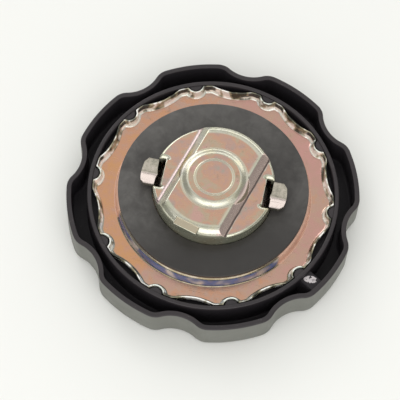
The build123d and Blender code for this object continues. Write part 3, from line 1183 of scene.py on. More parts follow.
@dataclass(frozen=True)
class PlatedCup(PlatedSteel):
    """The lock cup's plate: pale on the bridge's edges, with painted reflections on its
    flanks, a painted highlight at one foot and painted shade in the crease below the other
    side.

    A pair of sizes says where a mask is 0 and where it is 1.
    """

    name: str = "plated_cup"
    level: Film = CUP_LEVEL
    slope: Film = CUP_SLOPE
    wall: Film = CUP_WALL
    roughness: float = 0.24
    blotch_scale: float = 85.0
    fineness: float = 3.0
    relief: float = 0.03
    wall_metal: float = 0.6
    bend_range: Point = (0.9997, 0.989)
    flank_reflections: Film = CUP_FLANK_REFLECTIONS
    painted_foot_highlight: Colour = (0.56, 0.45, 0.44, 1.0)
    lug_film: Colour = (0.63, 0.55, 0.41, 1.0)
    painted_crease_shade: Colour = (0.14, 0.10, 0.095, 1.0)
    flank_inner: Point = (9.9, 10.4)
    flank_outer: Point = (13.2, 12.8)
    flank_change: Point = (-2.0, 2.0)
    flank_middle: float = 1.0
    middle_edge: Point = (7.0, 2.5)
    middle_foot: Point = (10.9, 11.4)
    middle_share: float = 0.16
    shoulder_side: Point = (10.9, 10.3)
    shoulder_end: Point = (16.8, 17.5)
    shoulder_edge: Point = (8.7, 9.6)
    edge_share: float = 0.75
    foot_inner: Point = (12.3, 12.7)
    foot_outer: Point = (14.4, 13.8)
    crease_off: float = 12.95
    crease_edge: Point = (0.42, 0.15)
    crease_ragged: float = 0.5
    crease_height: Point = (21.6, 22.0)
    crease_share: float = 0.75
    lug_side: Point = (4.2, 4.1)
    lug_middle: float = 19.65
    lug_end: Point = (1.32, 1.24)
    lug_height: Point = (22.5, 22.7)

    def bridge_axes(self, finish: Finish) -> tuple[Socket, Socket]:
        """Distances along the bridge from the axis and across from its middle line.

        Args:
            finish: The finish being made.

        Returns:
            Distances along and across.
        """
        inputs = {"Vector": finish.place, "Rotation": (0.0, 0.0, -BRIDGE_TURN)}
        local = finish.graph.add("ShaderNodeMapping", inputs).outputs["Vector"]
        return finish.graph.axes(local)[:2]

    def on_flanks(self, graph: Graph, across: Socket) -> Socket:
        """Mask of the strips along both sides of the bridge, which carry painted
        reflections.

        Args:
            graph: Graph of the finish.
            across: Distance across the bridge from its middle line.

        Returns:
            The mask.
        """
        off = graph.math("ABSOLUTE", across)
        edges = self.flank_inner, self.flank_outer
        return graph.product(*(graph.edge(off, *edge) for edge in edges))

    def along_flank(self, finish: Finish, along: Socket, across: Socket) -> Socket:
        """Place in the range of the flanks' painted reflections.

        Args:
            finish: The finish being made.
            along: Distance along the bridge.
            across: Distance across the bridge.

        Returns:
            The place: low on the bridge's +X side, with a pinkish painted reflection, and
                high on the other, with a grey to yellow one.
        """
        graph = finish.graph
        side = graph.edge(across, *self.flank_change)
        patch = graph.product(finish.speckle(100.0, 2.0), 0.3)
        spread = graph.total(patch, graph.product(self.fine(finish), 0.2))
        off = graph.math("SUBTRACT", along, self.flank_middle * MM)
        middle = graph.product(
            graph.edge(graph.math("ABSOLUTE", off), *self.middle_edge),
            graph.edge(across, *self.middle_foot),
            self.middle_share,
        )
        return graph.total(graph.product(side, 0.5), graph.product(spread, 0.9), middle)

    def on_shoulders(self, finish: Finish, across: Socket) -> Socket:
        """Mask of the bridge's rounded ends and of its rounded +X edge.

        Args:
            finish: The finish being made.
            across: Distance across the bridge from its middle line.

        Returns:
            The mask.
        """
        graph = finish.graph
        wide = graph.edge(graph.math("ABSOLUTE", across), *self.shoulder_side)
        ends = graph.edge(finish.reach, *self.shoulder_end)
        edge = graph.edge(graph.product(across, -1.0), *self.shoulder_edge)
        edge = graph.product(edge, self.edge_share)
        return graph.product(wide, graph.greatest(ends, edge))

    def on_foot(self, graph: Graph, across: Socket) -> Socket:
        """Mask of the rounded foot of the bridge's -X side, where a highlight line is
        painted.
        """
        edges = self.foot_inner, self.foot_outer
        return graph.product(*(graph.edge(across, *edge) for edge in edges))

    def on_crease_shade(self, finish: Finish, across: Socket) -> Socket:
        """Mask of the painted shade in the crease at the foot of the bridge's +X side.

        Args:
            finish: The finish being made.
            across: Distance across the bridge from its middle line.

        Returns:
            The mask.
        """
        graph = finish.graph
        ragged = graph.product(finish.speckle(300.0, 2.0), self.crease_ragged * MM)
        off = graph.total(graph.product(across, -1.0), ragged, -self.crease_off * MM)
        line = graph.edge(graph.math("ABSOLUTE", off), *self.crease_edge)
        top = graph.edge(finish.height, *self.crease_height)
        return graph.product(line, top, self.crease_share)

    def on_lug(self, finish: Finish, along: Socket, across: Socket) -> Socket:
        """Mask of the stop lug's top, inside its rounded edge.

        Args:
            finish: The finish being made.
            along: Distance along the bridge from the axis.
            across: Distance across the bridge from its middle line.

        Returns:
            The mask.
        """
        graph = finish.graph
        out = graph.math("ADD", along, self.lug_middle * MM)
        return graph.product(
            graph.edge(graph.math("ABSOLUTE", across), *self.lug_side),
            graph.edge(graph.math("ABSOLUTE", out), *self.lug_end),
            graph.edge(finish.height, *self.lug_height),
        )

    def film(self, finish: Finish) -> Socket:
        """Colour of the film: the faces, then the bridge's sides with their painted
        reflections, highlight and crease shade, the lug and the wall.

        Args:
            finish: The finish being made.

        Returns:
            The colour.
        """
        graph = finish.graph
        along, across = self.bridge_axes(finish)
        bends = self.bends(finish)
        rounded = graph.greatest(bends, self.on_shoulders(finish, across))
        painted_flanks = graph.colours(self.along_flank(finish, along, across), self.flank_reflections)
        thickness = self.thickness(finish)
        return graph.coats(
            graph.colours(thickness, self.level),
            (rounded, graph.colours(thickness, self.slope)),
            # Painted reflections on the bridge's flanks.
            (graph.product(bends, self.on_flanks(graph, across)), painted_flanks),
            # Painted highlight along the foot of the bridge's -X side.
            (graph.product(bends, self.on_foot(graph, across)), self.painted_foot_highlight),
            (self.on_lug(finish, along, across), self.lug_film),
            # Painted shade in the crease at the foot of the bridge's +X side.
            (self.on_crease_shade(finish, across), self.painted_crease_shade),
            (self.walls(finish), graph.colours(thickness, self.wall)),
        )


@dataclass(frozen=True)
class PlatedStrap(PlatedSteel):
    """The strap's plate, with a painted highlight on its -Y half, which faces the key lamp.
    """

    name: str = "plated_strap"
    level: Film = STRAP_LEVEL
    slope: Film = STRAP_LEVEL
    wall: Film = STRAP_LEVEL
    roughness: float = 0.24
    blotch_scale: float = 120.0
    painted_lit_half: Colour = (0.82, 0.70, 0.66, 1.0)
    half_edge: Point = (0.15, -0.25)
    half_share: float = 0.8

    def film(self, finish: Finish) -> Socket:
        """Colour of the film, with the strip's -Y half painted paler as a highlight.

        Args:
            finish: The finish being made.

        Returns:
            The colour.
        """
        graph = finish.graph
        thickness = self.thickness(finish)
        half = graph.edge(finish.axes[1], *self.half_edge)
        return graph.coats(
            graph.colours(thickness, self.level),
            (self.bends(finish), graph.colours(thickness, self.slope)),
            # Painted highlight on the -Y half, which faces the key lamp.
            (graph.product(half, self.half_share), self.painted_lit_half),
            (self.walls(finish), graph.colours(thickness, self.wall)),
        )


@dataclass(frozen=True)
class Rubber:
    """Dull black rubber, mottled and faintly bloomed, with a painted reflection of the
    backdrop that is paler towards +Y and towards -X.
    """

    name: str = "gasket_rubber"
    colour: Colour = (0.030, 0.027, 0.025, 1.0)
    bloom_and_reflection: Colour = (0.135, 0.128, 0.122, 1.0)
    bloom_and_reflection_share: float = 0.7
    roughness: float = 0.42
    rough_spread: Point = (-0.08, 0.12)
    relief: float = 0.02
    fade_tilt: float = -0.3
    fade_edge: Point = (-27.0, -2.0)
    fade: Point = (0.1, 0.95)
    side_edge: Point = (-30.0, 30.0)
    side: Point = (1.45, 0.98)

    def bloom_and_reflection_strength(self, finish: Finish) -> Socket:
        """How strong the bloom and the painted reflection of the backdrop are.

        Args:
            finish: The finish being made.

        Returns:
            The strength.
        """
        graph = finish.graph
        x_axis, y_axis, _ = finish.axes
        broad = finish.effect(Effect.BLOTCH, scale=55.0, amount=0.5, edge=0.22)
        small = finish.effect(Effect.BLOTCH, scale=260.0, amount=0.45, edge=0.2)
        pale = graph.total(graph.product(broad, 0.5), graph.product(small, 0.3), 0.1)
        # Painted reflection of the backdrop: paler towards +Y and towards -X.
        tilted = graph.total(y_axis, graph.product(x_axis, self.fade_tilt))
        fade = graph.span(graph.edge(tilted, *self.fade_edge), *self.fade)
        side = graph.span(graph.edge(x_axis, *self.side_edge), *self.side)
        return graph.product(pale, fade, side)

    def build(self) -> bpy.types.Material:
        """Make the material.

        Returns:
            The material.
        """
        finish = Finish(self.name)
        graph = finish.graph
        pale = self.bloom_and_reflection_strength(finish)
        # Bloom and painted reflection of the backdrop, laid on as one coat.
        bloom_and_reflection_strength = graph.product(pale, self.bloom_and_reflection_share)
        rough = graph.span(pale, *(self.roughness + more for more in self.rough_spread))
        colour = graph.mix(bloom_and_reflection_strength, self.colour, self.bloom_and_reflection)
        finish.feed({"Base Color": colour, "Roughness": rough})
        grain = finish.effect(Effect.GRAIN, scale=1800.0, coarse=420.0)
        finish.bump(grain, self.relief)
        return finish.material


def finishes() -> dict[str, bpy.types.Material]:
    """Every finish of the cap, by its material slot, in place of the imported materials.

    Returns:
        The materials by name.
    """
    for plain in list(bpy.data.materials):
        bpy.data.materials.remove(plain)
    grain_group()
    blotch_group()
    scratch_group()
    makers = (
        MouldedPlastic(),
        PlatedPan(),
        PlatedCup(),
        PlatedStrap(),
        PlatedSteel("spring_steel", WIRE_FILM, WIRE_FILM, WIRE_FILM, roughness=0.3),
        PlatedSteel("valve_brass", BRASS_FILM, BRASS_FILM, BRASS_FILM, roughness=0.3),
        Rubber(),
        Rubber(name="valve_rubber", colour=(0.025, 0.025, 0.025, 1.0)),
    )
    return {maker.name: maker.build() for maker in makers}


def dress(piece: bpy.types.Object, finish: bpy.types.Material) -> None:
    """Give a piece one finish all over."""
    piece.data.materials.clear()
    piece.data.materials.append(finish)


def place(
    piece: bpy.types.Object, finish: bpy.types.Material, body: str, *nodes: str
) -> None:
    """Dress a new piece, make it ride and hide the nodes it stands for.

    Args:
        piece: The new piece.
        finish: Its finish, whose name is also its material slot.
        body: The body it moves with.
        nodes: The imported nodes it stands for.
    """
    dress(piece, finish)
    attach(piece, body)
    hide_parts(*nodes)
    LOG.info("%s: %d faces", piece.name, len(piece.data.polygons))


# --------------------------------------------------------------------------------------
# The pieces
# --------------------------------------------------------------------------------------


@dataclass
class HandKnob:
    """The moulded cover: lobed tub, inner ring with keys, shelf and one web."""

    outline: Lobed = Lobed()
    wall: float = 1.7
    floor: float = 2.6
    rim: float = 13.7
    foot_edge: float = 2.2
    rim_edges: Point = (0.4, 0.2)
    floor_bend: float = 0.9
    ring_bore: float = 41.45
    ring_wall: float = 1.5
    ring_top: float = 14.1
    ring_bends: Point = (0.5, 0.45)
    bore_edge: float = 0.4
    key_radius: float = 2.4
    key_drop: float = 0.5
    key_edge: float = 0.3
    shelf: float = 9.9
    shelf_width: float = 4.2
    shelf_edge: float = 0.3
    face_loops: Point = (20.0, 36.0)
    web_angle: float = math.radians(-32.5)
    web_half_width: float = 2.4
    web_drop: float = 1.0
    web_fillet: float = 1.3
    segments: int = 1152

    def settle(self, angle: float, reach: float, level: float) -> Vector:
        """Place of a point, lifted where the web fills the trough.

        Args:
            angle: Direction from the axis.
            reach: Distance from the axis.
            level: The drawn level.

        Returns:
            The place in millimetres.
        """
        trough = self.ring_bore + self.ring_wall - 0.3
        if reach > trough and self.floor - 0.1 < level < self.rim - self.web_drop:
            if reach < self.outline.reach(angle, self.wall) + 0.05:
                level = max(level, self.web_level(angle, reach))
        return as_drawn(angle, reach, level)

    def web_level(self, angle: float, reach: float) -> float:
        """Top of the web at a point of the trough, or the floor beside it.

        Args:
            angle: Direction from the axis.
            reach: Distance from the axis.

        Returns:
            The level.
        """
        off = abs(off_feature(angle, self.web_angle, 1)) * reach
        side = share_of(off, self.web_half_width, self.web_half_width + self.web_fillet)
        top = self.rim - self.web_drop
        return self.floor + (top - self.floor) * (0.5 + 0.5 * math.cos(math.pi * side))

    def trough(self) -> list[Ring]:
        """Loops of the outer face's edge, the skirt, the trough and the ring's outside.

        Returns:
            The loops.
        """
        skirt = [
            (9.0, 0.0),
            (0.0, 0.0),
            (0.0, self.rim),
            (self.wall, self.rim),
            (self.wall, self.floor),
            (self.wall + 1.2, self.floor),
        ]
        climb = [
            (-0.9, self.floor),
            (0.0, self.floor),
            (0.0, self.ring_top),
            (0.7, self.ring_top),
        ]
        edges = self.foot_edge, *self.rim_edges, self.floor_bend
        outside = Round(self.ring_bore + self.ring_wall)
        return [
            *rings(self.outline, bent(skirt, edges, 7)),
            *rings(outside, bent(climb, self.ring_bends)),
        ]

    def keyed_ring(self) -> list[Ring]:
        """Loops of the ring's inside, its keys and the shelf at their feet.

        Returns:
            The loops.
        """
        keys = Bites(KEY_COUNT, FIRST_KEY, KEY_CENTRE, self.key_radius)
        key_top = self.ring_top - self.key_drop
        edge = self.ring_bore - self.shelf_width
        inside = [(-0.7, self.ring_top), (0.0, self.ring_top), (0.0, key_top)]
        drop = [(-0.25, key_top), (0.0, key_top), (0.0, self.shelf)]
        shelf = [(edge + 1.0, self.shelf), (edge, self.shelf), (edge, self.floor)]
        return [
            *rings(Round(self.ring_bore), bent(inside, (self.bore_edge,))),
            *rings(Bitten(self.ring_bore, (keys,)), bent(drop, (self.key_edge,), 4)),
            *turned(bent(shelf, (self.shelf_edge,), 3)),
        ]

    def build(self, finish: bpy.types.Material) -> bpy.types.Object:
        """Make the knob and give it its finish.

        Args:
            finish: Its finish.

        Returns:
            The piece.
        """
        loops = [
            *turned([(POLE, 0.0), *((reach, 0.0) for reach in self.face_loops)]),
            *self.trough(),
            *self.keyed_ring(),
            *turned([(self.face_loops[0], self.floor), (POLE, self.floor)]),
        ]
        piece = shell("hand_knob", loops, self.segments, self.settle)
        place(piece, finish, "cap", "cover")
        return piece


@dataclass
class PressedPlate:
    """The plated pan: dished centre, raised seat, annulus and fluted flange."""

    sheet: float = 1.0
    flange_sheet: float = 0.48
    top: float = 10.9
    seat: float = 15.6
    well_floor: float = 13.9
    well_radius: float = 8.6
    well_slope: float = 1.7
    well_hole: float = 4.65
    well_bend: float = 0.8
    well_bend_under: float = 0.6
    seat_radius: float = 33.3
    seat_lean: float = 0.35
    shoulder: float = 1.2
    foot: float = 0.6
    flange_top: float = 14.0
    flange_tip: float = 41.25
    flare: float = 0.4
    flange_edge: float = 0.2
    annulus_edge: float = 35.2
    bend: float = 1.4
    bend_room: float = 1.7
    bend_more: float = 0.5
    scallop_bottom: float = 39.4
    scallop_radius: float = 19.3
    notch_radius: float = 2.7
    wave: float = 0.22
    segments: int = 1000

    def settle(self, angle: float, reach: float, level: float) -> Vector:
        """Place of a point, with the slight unevenness of a pressed flange.

        Args:
            angle: Direction from the axis.
            reach: Distance from the axis.
            level: The drawn level.

        Returns:
            The place in millimetres.
        """
        high = share_of(level, self.top + 1.0, self.flange_top)
        if reach < self.annulus_edge:
            high = 0.0
        along = Vector((math.cos(angle), math.sin(angle), 0.0))
        lift = self.wave * high * noise.noise(along * 7.0)
        lean = self.wave * high * noise.noise(along * 9.0 + Vector((5.0, 0.0, 0.0)))
        return as_drawn(angle, reach + min(lean, 0.0), level + min(lift, 0.0))

    def upper_face(self) -> list[Ring]:
        """Loops of the dish, the seat, its wall and the annulus, from above.

        Returns:
            The loops.
        """
        section = [
            (self.well_hole, self.well_floor),
            (self.well_radius - self.well_slope, self.well_floor),
            (self.well_radius, self.seat),
            (self.seat_radius - self.seat_lean, self.seat),
            (self.seat_radius, self.top),
            (self.annulus_edge, self.top),
        ]
        bends = self.well_bend, self.well_bend, self.shoulder, self.foot
        return turned(bent(section, bends, 7))

    def flange(self) -> list[Ring]:
        """Loops of the flange, from the annulus up, over its edge and down again.

        Returns:
            The loops.
        """
        scallop_centre = self.scallop_bottom + self.scallop_radius
        between = FIRST_KEY + math.pi / KEY_COUNT
        scallops = Bites(KEY_COUNT, between, scallop_centre, self.scallop_radius)
        notches = Bites(KEY_COUNT, FIRST_KEY, KEY_CENTRE, self.notch_radius)
        inner = self.flare + self.flange_sheet
        section = [
            (inner + self.bend_room, self.top),
            (inner, self.top),
            (self.flange_sheet, self.flange_top),
            (0.0, self.flange_top),
            (self.flare, self.top - self.sheet),
            (inner + self.bend_room + self.bend_more, self.top - self.sheet),
        ]
        edges = self.flange_edge, self.flange_edge
        bends = self.bend, *edges, self.bend + self.bend_more
        outline = Bitten(self.flange_tip, (scallops, notches))
        return rings(outline, bent(section, bends, 10))

    def under_face(self) -> list[Ring]:
        """Loops of the annulus, the seat and the dish from below, and of the hole.

        Returns:
            The loops.
        """
        section = [
            (self.annulus_edge, self.top - self.sheet),
            (self.seat_radius - self.sheet, self.top - self.sheet),
            (self.seat_radius - self.seat_lean - self.sheet, self.seat - self.sheet),
            (self.well_radius + 0.4, self.seat - self.sheet),
            (self.well_radius - 1.3, self.well_floor - self.sheet),
            (self.well_hole, self.well_floor - self.sheet),
            (self.well_hole, self.well_floor),
        ]
        well = self.well_bend_under, self.well_bend_under
        bends = self.foot + self.sheet, self.shoulder - self.sheet, *well, 0.0
        return turned(bent(section, bends, 3))

    def build(self, finish: bpy.types.Material) -> bpy.types.Object:
        """Make the pan and give it its finish.

        Args:
            finish: Its finish.

        Returns:
            The piece.
        """
        loops = [*self.upper_face(), *self.flange(), *self.under_face()]
        piece = shell("pressed_plate", loops, self.segments, self.settle)
        place(piece, finish, "cap", "base_plate")
        return piece


@dataclass
class FlatGasket:
    """The flat rubber ring on the seat."""

    bore: float = 20.85
    radius: float = 32.4
    bottom: float = 15.6
    top: float = 17.1
    edge: float = 0.3
    face_loops: Point = (24.0, 28.0)
    ripple: float = 0.06
    ripple_length: float = 9.0
    segments: int = 360

    def settle(self, angle: float, reach: float, level: float) -> Vector:
        """Place of a point, with the slight ripple of soft rubber on its top.

        Args:
            angle: Direction from the axis.
            reach: Distance from the axis.
            level: The drawn level.

        Returns:
            The place in millimetres.
        """
        along = as_drawn(angle, reach, 0.0) / self.ripple_length
        on_top = level > self.bottom + 0.5
        dip = self.ripple * (noise.noise(along) - 0.6) if on_top else 0.0
        return as_drawn(angle, reach, level + min(dip, 0.0))

    def build(self, finish: bpy.types.Material) -> bpy.types.Object:
        """Make the gasket and give it its finish.

        Args:
            finish: Its finish.

        Returns:
            The piece.
        """
        section = [
            (self.bore, self.bottom),
            (self.bore, self.top),
            *((reach, self.top) for reach in self.face_loops),
            (self.radius, self.top),
            (self.radius, self.bottom),
            (self.bore, self.bottom),
        ]
        loops = turned(bent(section, (self.edge, 0.0, 0.0, self.edge, 0.0), 4))
        piece = shell("flat_gasket", loops, self.segments, self.settle)
        place(piece, finish, "cap", "gasket")
        return piece


@dataclass(frozen=True)
class BridgedTop:
    """Pressed top of the cup: side faces, a bridge across them and a round boss.

    The bends come in pairs: for the bridge's -X side and for its +X side.
    """

    radius: float = 20.7
    shoulder: float = 3.3
    face_rim: float = 0.9
    face: float = 22.2
    bridge: float = 24.95
    boss: float = 26.0
    foot_half: float = 12.8
    top_half: float = 10.2
    boss_radius: float = 11.5
    boss_flat: float = 8.5
    boss_bend: float = 0.05
    boss_fall: float = 3.0
    bead: float = 6.5
    bead_rise: float = 0.11
    bead_half: float = 0.28
    top_bends: Point = (0.10, 0.32)
    foot_bends: Point = (0.36, 0.10)
    rim_bend: float = 0.07
    window_start: float = 17.3
    window_half: float = 5.2
    lip: float = 0.12
    side_lip: float = 1.7
    lip_share: float = 0.7
    lug_inner: float = 18.6
    lug_half: float = 4.3
    lug_groove: float = 0.22
    groove_width: float = 0.45

    def level(self, angle: float, reach: float) -> float:
        """Level of the pressed face at an angle and a distance from the axis.

        Args:
            angle: Direction from the axis.
            reach: Distance from the axis.

        Returns:
            The level.
        """
        across = reach * math.sin(angle - BRIDGE_TURN)
        right = across < 0.0
        slope = (self.bridge - self.face) / (self.foot_half - self.top_half)
        side = self.bridge - (abs(across) - self.top_half) * slope
        level = soft_least(self.top_bends[right], self.bridge, side)
        level = soft_most(self.foot_bends[right], self.face_level(reach), level)
        level = soft_most(self.boss_bend, level, self.boss_level(reach))
        level += self.bead_rise * math.exp(-(((reach - self.bead) / self.bead_half) ** 2))
        level -= self.dip(reach * math.cos(angle), reach * math.sin(angle))
        level -= self.groove(angle - LUG_TURN, reach)
        return soft_least(self.rim_bend, level, self.rounding(reach))

    def face_level(self, reach: float) -> float:
        """Level of a side face, rounded down at the cup's rim."""
        out = min(max(0.0, reach - (self.radius - self.face_rim)), self.face_rim)
        return self.face - self.face_rim + math.sqrt(self.face_rim**2 - out**2)

    def boss_level(self, reach: float) -> float:
        """Level of the boss, whose side runs on down the bridge's flanks.

        Args:
            reach: Distance from the axis.

        Returns:
            The level.
        """
        out = share_of(reach, self.boss_flat, self.boss_radius)
        rise = (self.boss - self.bridge) * (0.5 + 0.5 * math.cos(math.pi * out))
        return self.bridge + rise - self.boss_fall * max(0.0, reach - self.boss_radius)

    def dip(self, along: float, across: float) -> float:
        """Fall of the face where it rolls over into an ear's window.

        Args:
            along: Distance from the axis along the ears.
            across: Distance from the ears' middle line.

        Returns:
            The fall.
        """
        beside = abs(across) - self.window_half
        radius = self.side_lip if beside > -0.2 else self.lip
        clear = math.hypot(max(self.window_start - abs(along), 0.0), max(beside, 0.0))
        if clear >= radius:
            return 0.0
        return self.lip_share * (radius - math.sqrt(radius**2 - (radius - clear) ** 2))

    def groove(self, off: float, reach: float) -> float:
        """Depth of the shallow groove round the stop lug.

        Args:
            off: Angle from the lug's direction.
            reach: Distance from the axis.

        Returns:
            The depth.
        """
        out = reach * math.cos(off)
        beside = abs(reach * math.sin(off)) - self.lug_half
        clear = math.hypot(max(self.lug_inner - out, 0.0), max(beside, 0.0))
        if out < 0.0 or clear >= self.groove_width:
            return 0.0
        return self.lug_groove * (1.0 - clear / self.groove_width)

    def rounding(self, reach: float) -> float:
        """Level of the rounded change from the bridge's ends to the wall.

        Args:
            reach: Distance from the axis.

        Returns:
            The level.
        """
        out = reach - (self.radius - self.shoulder)
        if out <= 0.0:
            return self.bridge + out**2
        out = min(out, self.shoulder)
        return self.bridge - self.shoulder + math.sqrt(self.shoulder**2 - out**2)

    def loops(self, coarse: float, fine: float, rim_steps: int) -> list[Ring]:
        """Loops of the top, from the axis to the wall.

        Args:
            coarse: Distance between the loops inside the bead.
            fine: Distance between the loops outside it, about.
            rim_steps: Count of the loops on the rounding.

        Returns:
            The loops, each of which lies on the pressed face.
        """
        start = self.radius - self.shoulder
        steps = range(1, int((self.bead - 1.0) / coarse))
        inner = [POLE, *(step * coarse for step in steps)]
        room = start - inner[-1]
        count = int(room / fine)
        spread = [inner[-1] + room * step / count for step in range(1, count + 1)]
        shares = [(step / rim_steps) ** 0.7 for step in range(1, rim_steps + 1)]
        rim = [start + self.shoulder * math.sin(share * math.pi / 2) for share in shares]
        return [Ring(Round(reach), 0.0, form=self) for reach in (*inner, *spread, *rim)]

    def lowered(self, sheet: float) -> "BridgedTop":
        """The face under this one, a sheet's thickness below, without its fine marks.

        Args:
            sheet: Thickness of the sheet.

        Returns:
            The face from below.
        """
        return replace(
            self,
            radius=self.radius - sheet,
            shoulder=self.shoulder - sheet,
            face=self.face - sheet,
            bridge=self.bridge - sheet,
            boss=self.boss - sheet,
            foot_half=self.foot_half - sheet / 2,
            top_half=self.top_half - sheet / 2,
            boss_radius=self.boss_radius - sheet / 2,
            face_rim=0.1,
            bead_rise=0.0,
            lug_groove=0.0,
            lip=0.0001,
            side_lip=0.9,
        )


@dataclass
class DrawnCup:
    """The plated lock cup: bridged top, straight wall, two ear windows and a stop lug."""

    sheet: float = 1.2
    seat: float = 15.6
    sill: float = 16.3
    wall_top: float = 18.5
    window_start: float = 17.3
    window_width: float = 10.4
    lug_depth: float = 2.9
    lug_width: float = 8.6
    lug_proud: float = 0.4
    lug_height: float = 2.4
    lug_top: float = 25.0
    lug_edge: float = 0.25
    rim_width: float = 0.12
    rim_rise: float = 0.14
    slit_length: float = 1.4
    slit_width: float = 0.5
    cut_edge: float = 0.12
    segments: int = 600

    def stop_lug(self, out: float) -> bpy.types.Object:
        """Make the stop lug, whose top has a low rim.

        Args:
            out: Distance from the axis to the lug's outer side.

        Returns:
            The lug.
        """
        middle = Vector((out - self.lug_depth / 2, 0.0, self.lug_top - self.lug_height / 2))
        size = Vector((self.lug_depth, self.lug_width, self.lug_height))
        lug = block("lug", middle, size, LUG_TURN)
        ease_edges(lug, self.lug_edge, steps=4)
        select_alone(lug)
        bpy.ops.object.mode_set(mode="EDIT")
        bpy.ops.mesh.select_all(action="DESELECT")
        bpy.ops.object.mode_set(mode="OBJECT")
        for face in lug.data.polygons:
            face.select = face.normal.z > 0.999
        bpy.ops.object.mode_set(mode="EDIT")
        bpy.ops.mesh.inset(thickness=self.rim_width * MM, depth=-self.rim_rise * MM)
        bpy.ops.object.mode_set(mode="OBJECT")
        smooth(lug)
        return lug

    def build(self, finish: bpy.types.Material) -> bpy.types.Object:
        """Make the cup and give it its finish.

        Args:
            finish: Its finish.

        Returns:
            The piece.
        """
        top = BridgedTop()
        under = top.lowered(self.sheet)
        wall = [
            (top.radius, self.wall_top),
            (top.radius, self.seat),
            (under.radius, self.seat),
            (under.radius, self.wall_top),
        ]
        loops = [
            *top.loops(coarse=0.45, fine=0.16, rim_steps=18),
            *turned(wall),
            *reversed(under.loops(coarse=1.5, fine=0.7, rim_steps=6)),
        ]
        cup = shell("drawn_cup", loops, self.segments)
        out = top.radius + self.lug_proud
        lug = self.stop_lug(out)
        height = top.boss - self.sill
        window = Vector((top.radius, self.window_width, height))
        beyond = Vector((self.window_start + top.radius / 2, 0.0, self.sill + height / 2))
        slit = Vector((self.slit_length, self.slit_width, height))
        beside = Vector(
            (out - self.lug_depth + self.slit_length / 2, -self.lug_width / 2, top.boss)
        )
        cut(
            cup,
            [
                block("window", beyond, window),
                block("window", beyond, window, math.pi),
                block("slit", beside, slit, LUG_TURN),
            ],
        )
        ease_edges(cup, self.cut_edge, 55.0)
        smooth(cup, 50.0)
        select_alone(cup)
        lug.select_set(True)
        bpy.ops.object.join()
        place(cup, finish, "cap", "lock_cup")
        return cup


@dataclass
class EarStrap:
    """The plated strip across the cup: climbing arms that end in keel-shaped ears."""

    half_width: float = 4.8
    sheet: float = 1.8
    bottom: float = 15.7
    lift: float = 2.0
    keel: float = 1.7
    neck: float = 19.35
    full: float = 19.75
    reach: float = 25.0
    climb_start: float = 18.2
    climb_end: float = 19.5
    corner: float = 1.2
    end_bend: float = 0.35
    keel_bend: float = 0.35
    hole: float = 3.2
    edge: float = 0.28
    steps_across: int = 16

    def station(self, along: float, across: float, upper: bool) -> Vector:
        """Point of the strip's lower or upper face.

        Args:
            along: Signed distance along the strip from the axis.
            across: Signed distance from the strip's middle line.
            upper: Whether the point is on the upper face.

        Returns:
            The point in millimetres.
        """
        out = abs(along)
        end = math.sqrt((self.reach + self.end_bend) ** 2 - 2.0 * across**2) - self.end_bend
        out += (end - self.reach) * max(0.0, (out / self.reach - 0.9) / 0.1)
        climb = share_of(abs(along), self.climb_start, self.climb_end)
        lift = self.lift * (0.5 - 0.5 * math.cos(math.pi * climb))
        turn = share_of(abs(along), self.neck, self.full)
        bow = math.hypot(across, self.keel_bend) - self.keel_bend
        rise = self.keel * turn * bow / self.half_width
        level = self.bottom + lift + rise + (self.sheet if upper else 0.0)
        return Vector((math.copysign(out, along), across, level))

    def section(self, along: float) -> list[Vector]:
        """Closed section of the strip at a distance along it, less wide at cut corners.

        Args:
            along: Signed distance along the strip from the axis.

        Returns:
            The points: out along the lower face and back along the upper one.
        """
        half = self.half_width - max(0.0, abs(along) - (self.reach - self.corner))
        steps = self.steps_across
        spots = [half * (2 * step / steps - 1) for step in range(steps + 1)]
        under = [self.station(along, spot, False) for spot in spots]
        over = [self.station(along, spot, True) for spot in reversed(spots)]
        return under + over

    def stations(self) -> list[float]:
        """Distances along the strip at which its sections lie, close at the neck.

        Returns:
            The distances.
        """
        arm = [15.0, 17.0, 18.2, 18.4, 18.6, 18.8, 19.0, 19.2, 19.35, 19.5, 19.65, 19.8]
        ear = [20.6, 21.5, 22.5, 23.2, self.reach - self.corner, 24.2, 24.6, self.reach]
        outer = arm + ear
        return [-out for out in reversed(outer)] + [-8.0, 0.0, 8.0] + outer

    def strip(self) -> bpy.types.Object:
        """Make the strip through its sections, with closed ends.

        Returns:
            The strip, without its hole.
        """
        net = bmesh.new()
        before = None
        for along in self.stations():
            loop = [net.verts.new(point * MM) for point in self.section(along)]
            pairs = list(zip(loop, loop[1:] + loop[:1]))
            if before:
                for (first, second), (third, fourth) in zip(before, pairs):
                    net.faces.new((first, second, fourth, third))
            else:
                net.faces.new(loop)
            before = pairs
        net.faces.new([first for first, _ in reversed(before)])
        bmesh.ops.recalc_face_normals(net, faces=net.faces)
        mesh = bpy.data.meshes.new("ear_strap")
        net.to_mesh(mesh)
        net.free()
        strap = bpy.data.objects.new("ear_strap", mesh)
        bpy.context.scene.collection.objects.link(strap)
        return strap

    def build(self, finish: bpy.types.Material) -> bpy.types.Object:
        """Make the strap and give it its finish.

        Args:
            finish: Its finish.

        Returns:
            The piece.
        """
        strap = self.strip()
        size = {"radius": self.hole * MM, "depth": 20.0 * MM}
        bpy.ops.mesh.primitive_cylinder_add(vertices=64, **size)
        drum = bpy.context.object
        drum.data.transform(Matrix.Translation((0.0, 0.0, self.bottom * MM)))
        cut(strap, [drum])
        ease_edges(strap, self.edge, 45.0, 3)
        smooth(strap, 30.0)
        place(strap, finish, "lock_bar", "lock_strap")
        return strap


# --------------------------------------------------------------------------------------
# Floor, light and camera
# --------------------------------------------------------------------------------------


